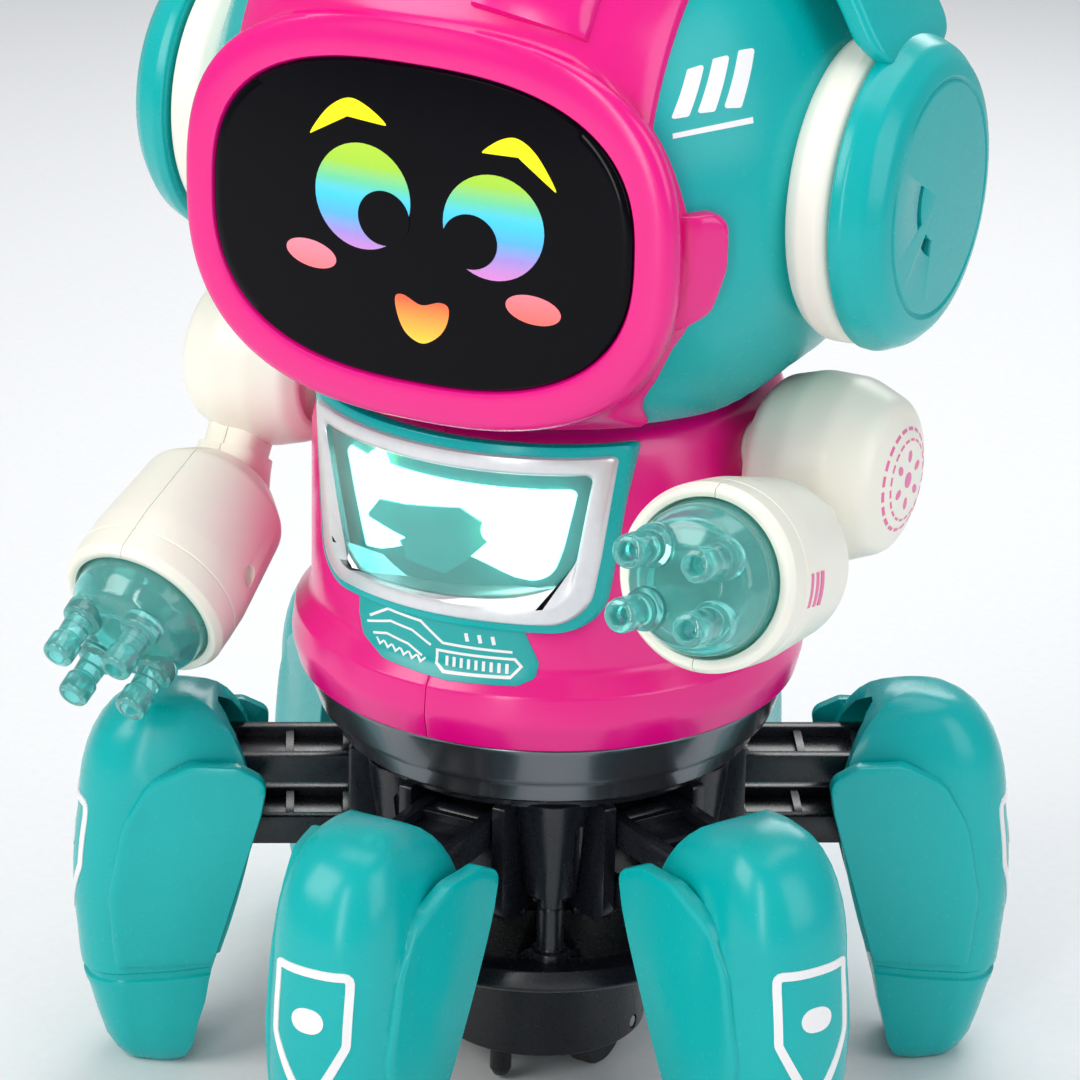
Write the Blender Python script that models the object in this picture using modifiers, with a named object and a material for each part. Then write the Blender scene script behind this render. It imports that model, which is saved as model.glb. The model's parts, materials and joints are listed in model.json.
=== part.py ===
"""Six-legged dancing toy robot: a separate solid for every moulding and moving piece.

Front is -Y, the robot's left is +X, Z is up, and the origin is on the floor under the centre.
Lengths below are in millimetres; MM turns them into metres.
"""

import math

import bmesh
import bpy
from mathutils import Matrix, Vector

MM = 0.001
GAP = 0.3

# Head: a ball helmet with a screen in front and headphones at its sides.
HEAD_RADIUS = 56.5
HEAD_CENTRE_Z = 170.0
HEAD_CUT_Z = 131.5
WALL = 2.2
MASK_BACK_Y = -36.0
SCREEN_HALF_WIDTH = 37.0
SCREEN_HALF_HEIGHT = 25.5
SCREEN_CENTRE_Z = 165.0
SCREEN_BOW = 3.0
CROWN_HALF_WIDTH = 36.0
EAR_CENTRE = (-1.0, 167.5)
EAR_RADIUS = 25.5
HEADBAND_RADIUS = (62.5, 66.5)
HEADBAND_HALF_DEPTH = 13.5

# Torso: a drum with a flange at its foot and a short neck on top.
TORSO_RADIUS = 40.3
TORSO_FOOT_Z = 75.6
TORSO_TOP_Z = 131.0
TORSO_STEPS = 36
NECK_RADIUS = 12.0
NECK_TOP_Z = 142.0
DOOR_HALF_WIDTH = 24.0
DOOR_LOW_Z, DOOR_HIGH_Z = 89.0, 119.0
SWITCH_Z = 124.0

# Arms: both the same, turned about the X axis through the shoulder.
SHOULDER = (-3.0, 120.5)
ARM_CENTRE_X = 54.5
DRUM_RADIUS = 15.2
FOREARM_ANGLE = 64.0
ELBOW_ANGLE = 32.0
ELBOW_REACH = 24.0
FOREARM_LENGTH = 30.5
LEFT_ARM_LIFT = 39.0

# Base: hub, post and wheels on the centre line.
HUB_RADIUS = 24.0
HUB_TOP_Z = 63.0
HUB_FLOOR_Z = 36.0
PLATE_RADIUS = 36.0
PLATE_TOP_Z = 32.0
SKIRT_RADIUS = 18.5
BOSS_R = 26.6
BOSS_FOOT_Z = 42.0
WHEEL_RADIUS = 9.0
SHAFT_RADIUS = 1.0

# Legs: parallel arms between two pivots on the hub and two in the leg.
LEG_COUNT = 6
HUB_PIVOT_R = 30.0
LEG_PIVOT_R = 58.0
UPPER_PIVOT_Z = 56.5
LOWER_PIVOT_Z = 45.0
ARM_HALF_WIDTH = 7.2
ARM_HEIGHT = 5.0
EAR_FROM, EAR_TO = 7.7, 9.9
PIN_RADIUS = 1.7


# ---------------------------------------------------------------- tools

def clear_scene():
    for old in list(bpy.data.objects):
        bpy.data.objects.remove(old)
    group = bpy.data.collections.new("toy_robot")
    bpy.context.scene.collection.children.link(group)


def material(name, colour, roughness, metallic=0.0):
    """A Principled material from an sRGB hex colour."""
    made = bpy.data.materials.new(name)
    made.use_nodes = True
    values = [int(colour[i:i + 2], 16) / 255 for i in (0, 2, 4)]
    linear = [v / 12.92 if v <= 0.04045 else ((v + 0.055) / 1.055) ** 2.4 for v in values]
    shader = made.node_tree.nodes["Principled BSDF"]
    shader.inputs["Base Color"].default_value = (*linear, 1)
    shader.inputs["Roughness"].default_value = roughness
    shader.inputs["Metallic"].default_value = metallic
    made.diffuse_color = (*linear, 1)
    return made


def evaluated(thing):
    """The object's mesh with its modifiers applied; the object itself is removed."""
    bpy.context.view_layer.update()
    graph = bpy.context.evaluated_depsgraph_get()
    mesh = bpy.data.meshes.new_from_object(thing.evaluated_get(graph))
    bpy.data.objects.remove(thing)
    return mesh


def temporary(mesh):
    thing = bpy.data.objects.new("temporary", mesh)
    bpy.context.scene.collection.objects.link(thing)
    return thing


def combine(operation, first, *others):
    """Boolean of meshes, in metres, one after another."""
    for other in others:
        base, tool = temporary(first), temporary(other)
        boolean = base.modifiers.new("boolean", "BOOLEAN")
        boolean.operation = operation
        boolean.solver = "EXACT"
        boolean.object = tool
        first = evaluated(base)
        bpy.data.objects.remove(tool)
    return first


def union(first, *others):
    return combine("UNION", first, *others)


def cut(first, *others):
    return combine("DIFFERENCE", first, *others)


def common(first, other):
    return combine("INTERSECT", first, other)


def moved(mesh, shift=(0, 0, 0), turn=0.0, axis="Z"):
    """A copy of a mesh, turned about an axis through the origin and then shifted (mm)."""
    copy = mesh.copy()
    copy.transform(Matrix.Translation(Vector(shift) * MM) @ Matrix.Rotation(math.radians(turn), 4, axis))
    return copy


def block(low, high):
    """A box between two corners in millimetres."""
    shape = bmesh.new()
    bmesh.ops.create_cube(shape, size=1)
    for vertex in shape.verts:
        for i in range(3):
            vertex.co[i] = (low[i] if vertex.co[i] < 0 else high[i]) * MM
    return finished(shape)


def rod(radius, low, high, end_radius=None, sides=16):
    """A cylinder or cone along Z from low to high."""
    shape = bmesh.new()
    top = radius if end_radius is None else end_radius
    bmesh.ops.create_cone(shape, cap_ends=True, segments=sides, radius1=radius * MM,
                          radius2=top * MM, depth=(high - low) * MM)
    bmesh.ops.translate(shape, verts=shape.verts, vec=(0, 0, (low + high) / 2 * MM))
    return finished(shape)


def finished(shape):
    mesh = bpy.data.meshes.new("shape")
    bmesh.ops.recalc_face_normals(shape, faces=shape.faces)
    shape.to_mesh(mesh)
    shape.free()
    return mesh


def turned(outline, steps=18):
    """A Screw about Z of (radius, z) points that run down the outer side.

    An outline that starts and ends on the axis stays open; any other is a closed ring section.
    """
    mesh = bpy.data.meshes.new("outline")
    count = len(outline)
    on_axis = outline[0][0] == 0 and outline[-1][0] == 0
    edges = [(i, (i + 1) % count) for i in range(count - 1 if on_axis else count)]
    mesh.from_pydata([(r * MM, 0, z * MM) for r, z in outline], edges, [])
    thing = temporary(mesh)
    screw = thing.modifiers.new("screw", "SCREW")
    screw.steps = steps
    screw.render_steps = steps
    screw.use_merge_vertices = True
    screw.merge_threshold = 0.00001
    return evaluated(thing)


def loft(sections):
    """A closed solid through loops of points (mm) that all have the same count."""
    shape = bmesh.new()
    loops = [[shape.verts.new(Vector(p) * MM) for p in section] for section in sections]
    count = len(sections[0])
    for low, high in zip(loops, loops[1:]):
        for i in range(count):
            k = (i + 1) % count
            shape.faces.new((low[i], low[k], high[k], high[i]))
    shape.faces.new(loops[0])
    shape.faces.new(loops[-1])
    bmesh.ops.triangulate(shape, faces=[f for f in shape.faces if len(f.verts) > 4])
    return finished(shape)


def open_loft(sections, thickness):
    """A shell of even wall inside an open surface through loops of points (mm)."""
    shape = bmesh.new()
    loops = [[shape.verts.new(Vector(p) * MM) for p in section] for section in sections]
    count = len(sections[0])
    for low, high in zip(loops, loops[1:]):
        for i in range(count):
            k = (i + 1) % count
            shape.faces.new((low[i], low[k], high[k], high[i]))
    mesh = bpy.data.meshes.new("surface")
    shape.to_mesh(mesh)
    shape.free()
    thing = temporary(mesh)
    solid = thing.modifiers.new("solidify", "SOLIDIFY")
    solid.thickness = thickness * MM
    solid.offset = -1
    return evaluated(thing)


def rounded(corners, radii, steps=4):
    """A closed outline through corners, each with its own round."""
    points = []
    count = len(corners)
    for i, (corner, radius) in enumerate(zip(corners, radii)):
        here = Vector(corner)
        before = (Vector(corners[i - 1]) - here).normalized()
        after = (Vector(corners[(i + 1) % count]) - here).normalized()
        half = before.angle(after) / 2
        reach = radius / math.tan(half)
        centre = here + (before + after).normalized() * (radius / math.sin(half))
        start, end = here + before * reach - centre, here + after * reach - centre
        for k in range(steps + 1):
            share = k / steps
            arm = start.slerp(end, share).normalized() * radius
            points.append(tuple(centre + arm))
    return points


def prism(outline, near, far):
    """An (x, z) outline made solid from y near to y far."""
    return loft([[(x, y, z) for x, z in outline] for y in (near, far)])


def superellipse(half_width, half_height, power, count=24):
    points = []
    for i in range(count):
        angle = 2 * math.pi * i / count
        c, s = math.cos(angle), math.sin(angle)
        x = half_width * math.copysign(abs(c) ** (2 / power), c)
        z = half_height * math.copysign(abs(s) ** (2 / power), s)
        points.append((x, z))
    return points


def place(name, mesh, finish, location=(0, 0, 0), turn=0.0, axis="Z"):
    """A named node at a place in millimetres, turned about an axis through it."""
    thing = bpy.data.objects.new(name, mesh)
    bpy.data.collections["toy_robot"].objects.link(thing)
    thing.location = Vector(location) * MM
    thing.rotation_euler["XYZ".index(axis)] = math.radians(turn)
    mesh.materials.clear()
    mesh.materials.append(finish)
    mesh.shade_smooth()
    mesh.set_sharp_from_angle(angle=math.radians(35))
    return thing


# ---------------------------------------------------------------- base and drive

def base_plate(black):
    """Wide disc with a skirt round the wheels, two glides and three posts up to the hub's bosses."""
    top, under, skirt = PLATE_TOP_Z, PLATE_TOP_Z - 4, SKIRT_RADIUS
    shape = turned([(1.5, top), (PLATE_RADIUS - 0.6, top), (PLATE_RADIUS, under + 1), (PLATE_RADIUS - 1, under),
                    (skirt, under), (skirt, 7), (skirt - 1.5, 7), (skirt - 1.5, under + 1.5), (1.5, under + 1.5)], 24)
    glides = [moved(rod(1.8, 0.6, top - 1, sides=8), (0, side * 14.5, 0)) for side in (-1, 1)]
    post = moved(rod(2.3, top - 1, BOSS_FOOT_Z - GAP, sides=12), (0, -BOSS_R, 0))
    glides += [moved(post, turn=turn) for turn in (30, 150, 270)]
    axle_hole = moved(rod(1.3, -20, 20, sides=8), (0, 0, WHEEL_RADIUS), 90, "Y")
    place("base_plate", cut(union(shape, *glides), axle_hole), black)


def centre_post(black):
    low, high = PLATE_TOP_Z + GAP, HUB_FLOOR_Z - GAP
    outline = [(1.5, high), (3.2, high), (3.2, low + 2.5), (7, low + 1.5), (7, low), (1.5, low)]
    place("centre_post", turned(outline, 16), black)


def drive_train(steel, white):
    """Shaft down the post, crown gear over the axle and cam gear over the arm tails."""
    place("drive_shaft", rod(SHAFT_RADIUS, 11.5, 64.5, sides=12), steel)
    bore = SHAFT_RADIUS + GAP
    place("crown_gear", turned([(bore, 17.6), (6.5, 17.6), (6.5, 14.4), (bore, 14.4)], 16), white)
    cam = [(bore, 63), (11.2, 63), (11.2, 60.6), (20, 60.6), (20, 58.4), (14, 58.4), (11, 59.6), (bore, 59.6)]
    place("cam_gear", turned(cam, 16), white)


def wheels(steel, rubber):
    """Two wheels on one axle along X, with the driven gear beside them."""
    axle = rod(SHAFT_RADIUS, -18.3, 18.3, sides=12)
    gear = rod(4.6, 3.5, 6, sides=16)
    place("wheel_axle", union(axle, gear), steel, (0, 0, WHEEL_RADIUS), 90, "Y")
    bore = SHAFT_RADIUS + GAP
    tyre = [(bore, 2.2), (8.4, 2.2), (WHEEL_RADIUS, 1.4), (WHEEL_RADIUS, -1.4), (8.4, -2.2), (bore, -2.2)]
    for side, x in (("left", 11.2), ("right", -11.2)):
        place(side + "_drive_wheel", turned(tyre, 16), rubber, (x, 0, WHEEL_RADIUS), 90, "Y")


def hub_housing(black):
    """Cup under the ring, with two lugs for each leg and a screw boss between legs."""
    inner = HUB_RADIUS - 2
    shape = turned([(33, HUB_TOP_Z), (33, 61), (HUB_RADIUS, 58), (HUB_RADIUS, 38),
                    (21, HUB_FLOOR_Z), (1.5, HUB_FLOOR_Z), (1.5, 38), (inner, 38), (inner, HUB_TOP_Z)])
    for k in range(LEG_COUNT):
        turn = 360 / LEG_COUNT * k
        for side in (-1, 1):
            across = sorted((side * EAR_FROM, side * EAR_TO))
            lug = block((across[0], -34, 40), (across[1], -22.8, 61.6))
            shape = union(shape, moved(lug, turn=turn))
        boss = moved(rod(3.0, BOSS_FOOT_Z, 61.8, 4.4, 8), (0, -BOSS_R, 0))
        shape = union(shape, moved(boss, turn=turn + 180 / LEG_COUNT))
    for k in range(LEG_COUNT):
        turn = 360 / LEG_COUNT * k
        holes = [moved(rod(PIN_RADIUS + GAP, -12, 12, sides=6), (0, -HUB_PIVOT_R, z), 90, "Y")
                 for z in (UPPER_PIVOT_Z, LOWER_PIVOT_Z)]
        window = block((-3.6, -27, 50), (3.6, -18, 57.6))
        for tool in (*holes, window):
            shape = cut(shape, moved(tool, turn=turn))
    place("hub_housing", shape, black)


def base_ring(black):
    outline = [(39.8, 75.3), (41.4, 75.3), (41.0, 74.4), (39.2, 68.4), (36.8, 67.4),
               (35.4, 63.3), (30.2, 63.3), (30.2, 65.5), (33.6, 65.5), (38.2, 74)]
    place("base_ring", turned(outline, TORSO_STEPS), black)


def drive_motor(steel):
    can = block((-10, -21.5, 66), (10, -6.5, 91))
    corners = moved(rod(10, 60, 95, sides=24), (0, -14, 0))
    pinion = moved(rod(2.4, 61.2, 67, sides=12), (0, -14, 0))
    place("drive_motor", union(common(can, corners), pinion), steel)


# ---------------------------------------------------------------- torso

def window_outline(inset):
    """Outline of the chest window, made smaller by an inset."""
    i = inset
    corners = [(-28.5 + i, 127 - i), (28.5 - i, 127 - i), (27 - i, 108), (20.5 - i * 0.7, 97.3 + i),
               (-20.5 + i * 0.7, 97.3 + i), (-27 + i, 108)]
    return rounded(corners, (3, 3, 8, 6, 6, 8), 2)


def wall_piece(outline, inner, outer, near, far):
    """A piece of a round wall: the part of a ring that lies within an (x, z) outline."""
    low = min(z for _, z in outline) - 2
    high = max(z for _, z in outline) + 2
    ring = turned([(outer, high), (outer, low), (inner, low), (inner, high)], TORSO_STEPS)
    return common(ring, prism(outline, near, far))


def door_outline(inset):
    left, right = -DOOR_HALF_WIDTH + inset, DOOR_HALF_WIDTH - inset
    low, high = DOOR_LOW_Z + inset, DOOR_HIGH_Z - inset
    return rounded([(left, high), (right, high), (right, low), (left, low)], (3, 3, 3, 3), 2)


def torso(pink, black):
    r = TORSO_RADIUS
    neck = NECK_RADIUS
    outline = [(neck, NECK_TOP_Z), (neck, TORSO_TOP_Z), (33, TORSO_TOP_Z), (38, 127.5), (r, 118), (r, 87.6),
               (43.1, 84.4), (43.7, 80.5), (42.4, TORSO_FOOT_Z), (40.6, TORSO_FOOT_Z), (41, 83.4),
               (38.1, 87), (38.1, 118), (36, 126.4), (32.6, 128.6), (neck - WALL, 128.6),
               (neck - WALL, NECK_TOP_Z)]
    shell = turned(outline, TORSO_STEPS)
    window = prism(window_outline(-GAP), -60, -15)
    door = prism(door_outline(0), 15, 60)
    holes = moved(rod(5.4, -60, 60, sides=16), (0, *SHOULDER), 90, "Y")
    slot = block((-5, 28, SWITCH_Z - 2), (5, 50, SWITCH_Z + 2))
    shell = cut(shell, window, door, holes, slot)
    for side, low, high in (("left", GAP / 2, 60), ("right", -60, -GAP / 2)):
        half = common(shell, block((low, -60, 60), (high, 60, 160)))
        place("torso_shell_" + side, half, pink)
    place("battery_door", wall_piece(door_outline(GAP), 38.1, r, 15, 60), pink)
    knob = block((-4.6, 34.5, SWITCH_Z - 1.5), (-0.4, 40.8, SWITCH_Z + 1.5))
    place("power_switch", knob, black)


def chest(silver, clear, green, black):
    """Window trim and lens, with the lit board and the speaker behind them."""
    frame = wall_piece(window_outline(0), 38.6, 41.8, -60, -15)
    place("chest_trim", cut(frame, prism(window_outline(3.6), -60, -10)), silver)
    place("chest_lens", wall_piece(window_outline(3.6 + GAP), 39, 41.3, -60, -15), clear)
    board = block((-17, -29, 97), (17, -27.4, 124))
    lamps = [moved(rod(2.5, 0, 5, sides=12), (x, -28, 113), 90, "X") for x in (-8, 8)]
    place("main_board", union(board, *lamps), green)
    cone = turned([(0, 6.5), (14, 6.5), (14, 3.5), (8, 0), (0, 0)])
    place("speaker", cone, black, (0, -14.5, 107.5), 90, "X")


def batteries(black, steel):
    """Three cells along X in an open-backed box."""
    box = cut(block((-26.9, -6, 88.5), (26.9, 25.6, 121)), block((-25.6, -4.5, 90), (25.6, 40, 119.5)))
    place("battery_box", box, black)
    cell = [(0, 25.3), (2.6, 25.3), (2.6, 24.2), (7.1, 24.2), (7.1, -25.2), (0, -25.2)]
    for i, (y, z) in enumerate(((18, 97.4), (18, 112), (2.9, 97.4)), 1):
        place(f"battery_{i}", turned(cell, 14), steel, (0, y, z), 90, "Y")


# ---------------------------------------------------------------- head

def ball(radius, low_z, steps=6):
    """Points down the outside of the helmet from its crown to a height."""
    end = math.acos((low_z - HEAD_CENTRE_Z) / radius)
    points = [(radius * math.sin(end * i / steps), HEAD_CENTRE_Z + radius * math.cos(end * i / steps))
              for i in range(1, steps + 1)]
    return [(0, HEAD_CENTRE_Z + radius)] + points


def helmet_wall(outer, inner, low_z):
    return turned(ball(outer, low_z) + ball(inner, low_z)[::-1], 24)


def head_shells(teal):
    wall = helmet_wall(HEAD_RADIUS, HEAD_RADIUS - WALL, HEAD_CUT_Z)
    for side, low, high in (("left", GAP / 2, 70), ("right", -70, -GAP / 2)):
        region = block((low, MASK_BACK_Y + 1.3, 120), (high, 70, 240))
        place("head_shell_" + side, common(wall, region), teal)


def crown_band(pink):
    wall = helmet_wall(HEAD_RADIUS + 3.2, HEAD_RADIUS + 1.6, 170)
    region = block((-CROWN_HALF_WIDTH, MASK_BACK_Y + 1.3, 184), (CROWN_HALF_WIDTH, 70, 240))
    place("crown_band", common(wall, region), pink)


def face_section(y, half_width, half_height, centre_z, power, bow):
    """One loop of the face, bowed back towards its sides."""
    return [(x, y + bow * (x / 43) ** 2, centre_z + z)
            for x, z in superellipse(half_width, half_height, power)]


def face_mask(pink):
    """Rim round the screen that opens out to the helmet behind it."""
    w, h, z, bow = SCREEN_HALF_WIDTH + GAP, SCREEN_HALF_HEIGHT + GAP, SCREEN_CENTRE_Z, SCREEN_BOW
    sections = [
        face_section(-49.2, w, h, z, 2.6, bow),
        face_section(-48.6, w + 4.4, h + 4.6, z + 0.2, 2.6, bow),
        face_section(-45.5, w + 6.3, h + 8.2, z + 1.0, 2.5, bow * 0.6),
        face_section(-42.0, w + 7.0, h + 12.0, z + 3.6, 2.4, bow * 0.2),
        face_section(MASK_BACK_Y, w + 6.3, h + 14.6, z + 7.2, 2.2, 0),
    ]
    place("face_mask", open_loft(sections, WALL), pink)


def face_screen(black):
    w, h, z, bow = SCREEN_HALF_WIDTH, SCREEN_HALF_HEIGHT, SCREEN_CENTRE_Z, SCREEN_BOW
    sections = [face_section(y, w * share, h * share, z, 2.6, bow)
                for y, share in ((-47.2, 1.0), (-48.9, 1.0), (-49.5, 0.95), (-50.1, 0.6))]
    place("face_screen", loft(sections), black)


def head_base(teal):
    """Floor of the head, with the collar that turns on the neck."""
    bore = NECK_RADIUS + 0.4
    outline = [(bore, 141.5), (bore + 3, 141.5), (bore + 3, 134.4), (35, 134.4), (35, 132.2), (bore, 132.2)]
    place("head_base", turned(outline, 32), teal)


def headphones(white, teal):
    y, z = EAR_CENTRE
    cushion = [(18, 59.4), (23.6, 59.4), (24.8, 58), (24.2, 54.6), (22.6, 53.4), (18, 55.6)]
    cover = [(0, 69.5), (22, 69.5), (25, 67.4), (EAR_RADIUS, 65), (25, 59.7),
             (17.6, 59.7), (17.6, 57.3), (0, 57.3)]
    for side, turn in (("left", 90), ("right", -90)):
        place(side + "_ear_cushion", turned(cushion), white, (0, y, z), turn, "Y")
        place(side + "_ear_cover", turned(cover), teal, (0, y, z), turn, "Y")


def headband(teal):
    """Half ring over the helmet that ends just above the ear cushions."""
    inner, outer = HEADBAND_RADIUS
    y, z = EAR_CENTRE
    half = HEADBAND_HALF_DEPTH
    ring = turned([(outer - 1, half), (outer, half - 2), (outer, -half + 2), (outer - 1, -half),
                   (inner, -half), (inner, half)], 36)
    ring = moved(moved(ring, turn=90, axis="X"), (0, y, z))
    place("headband", common(ring, block((-80, -40, z + 26.2), (80, 40, 260))), teal)


# ---------------------------------------------------------------- arms

def reach(angle, length):
    """(y, z) of a point at an angle forward of straight down."""
    return -math.sin(math.radians(angle)) * length, -math.cos(math.radians(angle)) * length


def aimed(mesh, angle, start):
    """A mesh made along +Z, aimed forward of down by an angle and moved to (y, z)."""
    return moved(moved(mesh, turn=180 - angle, axis="X"), (0, *start))


def shoulder_drum():
    """Round drum on the X axis, with the stub that turns in the torso."""
    outline = [(0, 65.8), (9, 65.6), (13, 63.4), (DRUM_RADIUS, 56.5), (DRUM_RADIUS, 49.5),
               (13.4, 44.4), (9.4, 41.1), (5, 41.1), (5, 35.6), (0, 35.6)]
    return moved(turned(outline), turn=90, axis="Y")


def forearm():
    """Hollow barrel with its neck, centred on x = 0."""
    length = FOREARM_LENGTH
    outline = [(0, 2.4), (9.5, 2.6), (11.8, 6), (12.6, 20), (12.6, length), (14, length),
               (14.8, length - 1.6), (14.8, 24), (13, 3.2), (9.8, 0), (0, 0)]
    barrel = aimed(turned(outline), FOREARM_ANGLE, reach(ELBOW_ANGLE, ELBOW_REACH))
    neck = aimed(rod(5, DRUM_RADIUS + 0.5, ELBOW_REACH + 3, sides=20), ELBOW_ANGLE, (0, 0))
    return union(barrel, neck)


def hand():
    """Cup that plugs the forearm's mouth, with four fingers."""
    mouth = FOREARM_LENGTH
    outline = [(0, mouth + 7.6), (6, mouth + 7.5), (10.6, mouth + 5.4), (12.2, mouth),
               (12.2, mouth - 5), (10.4, mouth - 5), (10.4, mouth + 0.5), (8.6, mouth + 4.6), (0, mouth + 5.6)]
    cup = turned(outline)
    for x in (-5.6, 5.6):
        for y in (-5.2, 5.2):
            cup = union(cup, moved(rod(2.4, mouth + 6, mouth + 17, 2.0, 6), (x, y, 0)))
    return aimed(cup, FOREARM_ANGLE, reach(ELBOW_ANGLE, ELBOW_REACH))


def arms(white, clear):
    """Both arms; the left one is lifted forward. Origins are on the shoulder axis."""
    drum, barrel, palm = shoulder_drum(), forearm(), hand()
    for side, sign, lift in (("left", 1, LEFT_ARM_LIFT), ("right", -1, 0)):
        origin = (0, *SHOULDER)
        shaped = drum if sign > 0 else moved(drum, turn=180)
        place(side + "_shoulder_drum", shaped.copy(), white, origin, -lift, "X")
        for name, ends in (("inner", (-30, -GAP / 2)), ("outer", (GAP / 2, 30))):
            low, high = sorted(sign * x for x in ends)
            half = common(barrel, block((low, -90, -90), (high, 30, 30)))
            half = moved(half, (sign * ARM_CENTRE_X, 0, 0))
            place(f"{side}_forearm_{name}", half, white, origin, -lift, "X")
        place(side + "_hand", moved(palm, (sign * ARM_CENTRE_X, 0, 0)), clear, origin, -lift, "X")


# ---------------------------------------------------------------- legs

def leg_arm(tail):
    """Open frame from the hub pivot, at the origin, out to the leg pivot along -Y."""
    length = LEG_PIVOT_R - HUB_PIVOT_R
    w, h = ARM_HALF_WIDTH, ARM_HEIGHT / 2
    frame = block((-w, -length - 2.5, -h), (w, 2.5, h))
    frame = cut(frame, block((-w + 2.2, -length + 5, -h - 1), (w - 2.2, -5, h + 1)))
    for y in (0, -length):
        pins = moved(rod(PIN_RADIUS, -EAR_TO + 0.1, EAR_TO - 0.1, sides=6), turn=90, axis="Y")
        frame = union(frame, moved(pins, (0, y, 0)))
    if tail:
        frame = union(frame, block((-2.5, 1.5, -2.1), (2.5, 15, 0.5)))
    return frame


# Leg sections from the sole up: height, inner radius, outer radius, inner and nose half widths.
LEG_SECTIONS = (
    (0.0, 63.0, 73.6, 6.5, 5.5),
    (4.0, 60.8, 76.4, 9.0, 8.0),
    (20.0, 57.0, 80.4, 11.8, 10.2),
    (36.0, 52.2, 81.6, 14.9, 10.8),
    (51.5, 47.8, 79.4, 16.6, 10.8),
    (58.0, 52.0, 77.0, 15.8, 10.4),
    (64.5, 57.0, 73.0, 12.0, 8.8),
    (69.4, 61.5, 67.5, 5.0, 4.0),
)


def leg_loop(z, inner, outer, half_in, half_nose, inset=0.0, back=0.0):
    """One level of the leg, a blunt nose outwards and flared sides behind it."""
    shoulder = outer - (outer - inner) * 0.38
    side = [(inner - back, half_in - inset), (shoulder, half_nose + (half_in - half_nose) * 0.25 - inset)]
    nose = []
    for i in range(4):
        angle = math.pi / 2 * i / 3
        along = shoulder + (outer - inset - shoulder) * math.sin(angle) ** 0.9
        nose.append((along, (half_nose - inset) * max(math.cos(angle), 0.0) ** 0.8))
    right = side + nose[1:]
    loop = [(w, -r, z) for r, w in right]
    loop += [(-w, -r, z) for r, w in reversed(right[:-1])]
    origin = Vector((0, LEG_PIVOT_R, -UPPER_PIVOT_Z))
    return [tuple(Vector(p) + origin) for p in loop]


def leg_shell():
    """Leg casing, open towards the hub above its foot. The origin is on its upper pivot."""
    solid = loft([leg_loop(*level) for level in LEG_SECTIONS])
    hollow = [level for level in LEG_SECTIONS if 20 <= level[0] < 66]
    hollow = [leg_loop(*level, inset=WALL, back=8) for level in hollow]
    shape = cut(solid, loft(hollow))
    outline = [(-52.5, 41), (-70, 41), (-66, 60.5), (-52.5, 60.5)]
    for side in (-1, 1):
        across = sorted((side * EAR_FROM, side * EAR_TO))
        lug = loft([[(x, y + LEG_PIVOT_R, z - UPPER_PIVOT_Z) for y, z in outline] for x in across])
        shape = union(shape, lug)
    for z, radius in ((0, PIN_RADIUS + GAP), (LOWER_PIVOT_Z - UPPER_PIVOT_Z, PIN_RADIUS + 2 * GAP)):
        shape = cut(shape, moved(rod(radius, -11, 11, sides=6), (0, 0, z), 90, "Y"))
    return shape


def legs(black, teal):
    upper, lower, shell = leg_arm(True), leg_arm(False), leg_shell()
    for k in range(LEG_COUNT):
        turn = 360 / LEG_COUNT * k
        angle = math.radians(turn)
        out = Vector((math.sin(angle), -math.cos(angle), 0))
        for name, mesh, finish, r, z in (
                ("upper_arm", upper, black, HUB_PIVOT_R, UPPER_PIVOT_Z),
                ("lower_arm", lower, black, HUB_PIVOT_R, LOWER_PIVOT_Z),
                ("shell", shell, teal, LEG_PIVOT_R, UPPER_PIVOT_Z)):
            where = out * r + Vector((0, 0, z))
            place(f"leg_{k + 1}_{name}", mesh.copy(), finish, where, turn)


# ---------------------------------------------------------------- the robot

def build():
    clear_scene()
    pink = material("pink ABS", "E4007F", 0.25)
    teal = material("teal ABS", "00A9A8", 0.28)
    white = material("ivory ABS", "F6F3E6", 0.35)
    black = material("black ABS", "15161C", 0.3)
    gloss = material("gloss black", "050508", 0.06)
    silver = material("silver paint", "D9DBDE", 0.3, 0.5)
    clear = material("clear teal", "35C4C6", 0.08)
    steel = material("steel", "B9BCC0", 0.3, 1.0)
    rubber = material("rubber", "1B1B1B", 0.7)
    green = material("board", "1E6B3A", 0.5)

    base_plate(black)
    centre_post(black)
    drive_train(steel, white)
    wheels(steel, rubber)
    hub_housing(black)
    base_ring(gloss)
    drive_motor(steel)
    torso(pink, black)
    chest(silver, clear, green, black)
    batteries(black, steel)
    head_shells(teal)
    crown_band(pink)
    face_mask(pink)
    face_screen(gloss)
    head_base(teal)
    headphones(white, teal)
    headband(teal)
    arms(white, clear)
    legs(black, teal)


build()
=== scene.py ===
import json
import math

import bmesh
import bpy
from mathutils import Matrix, Vector

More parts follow.
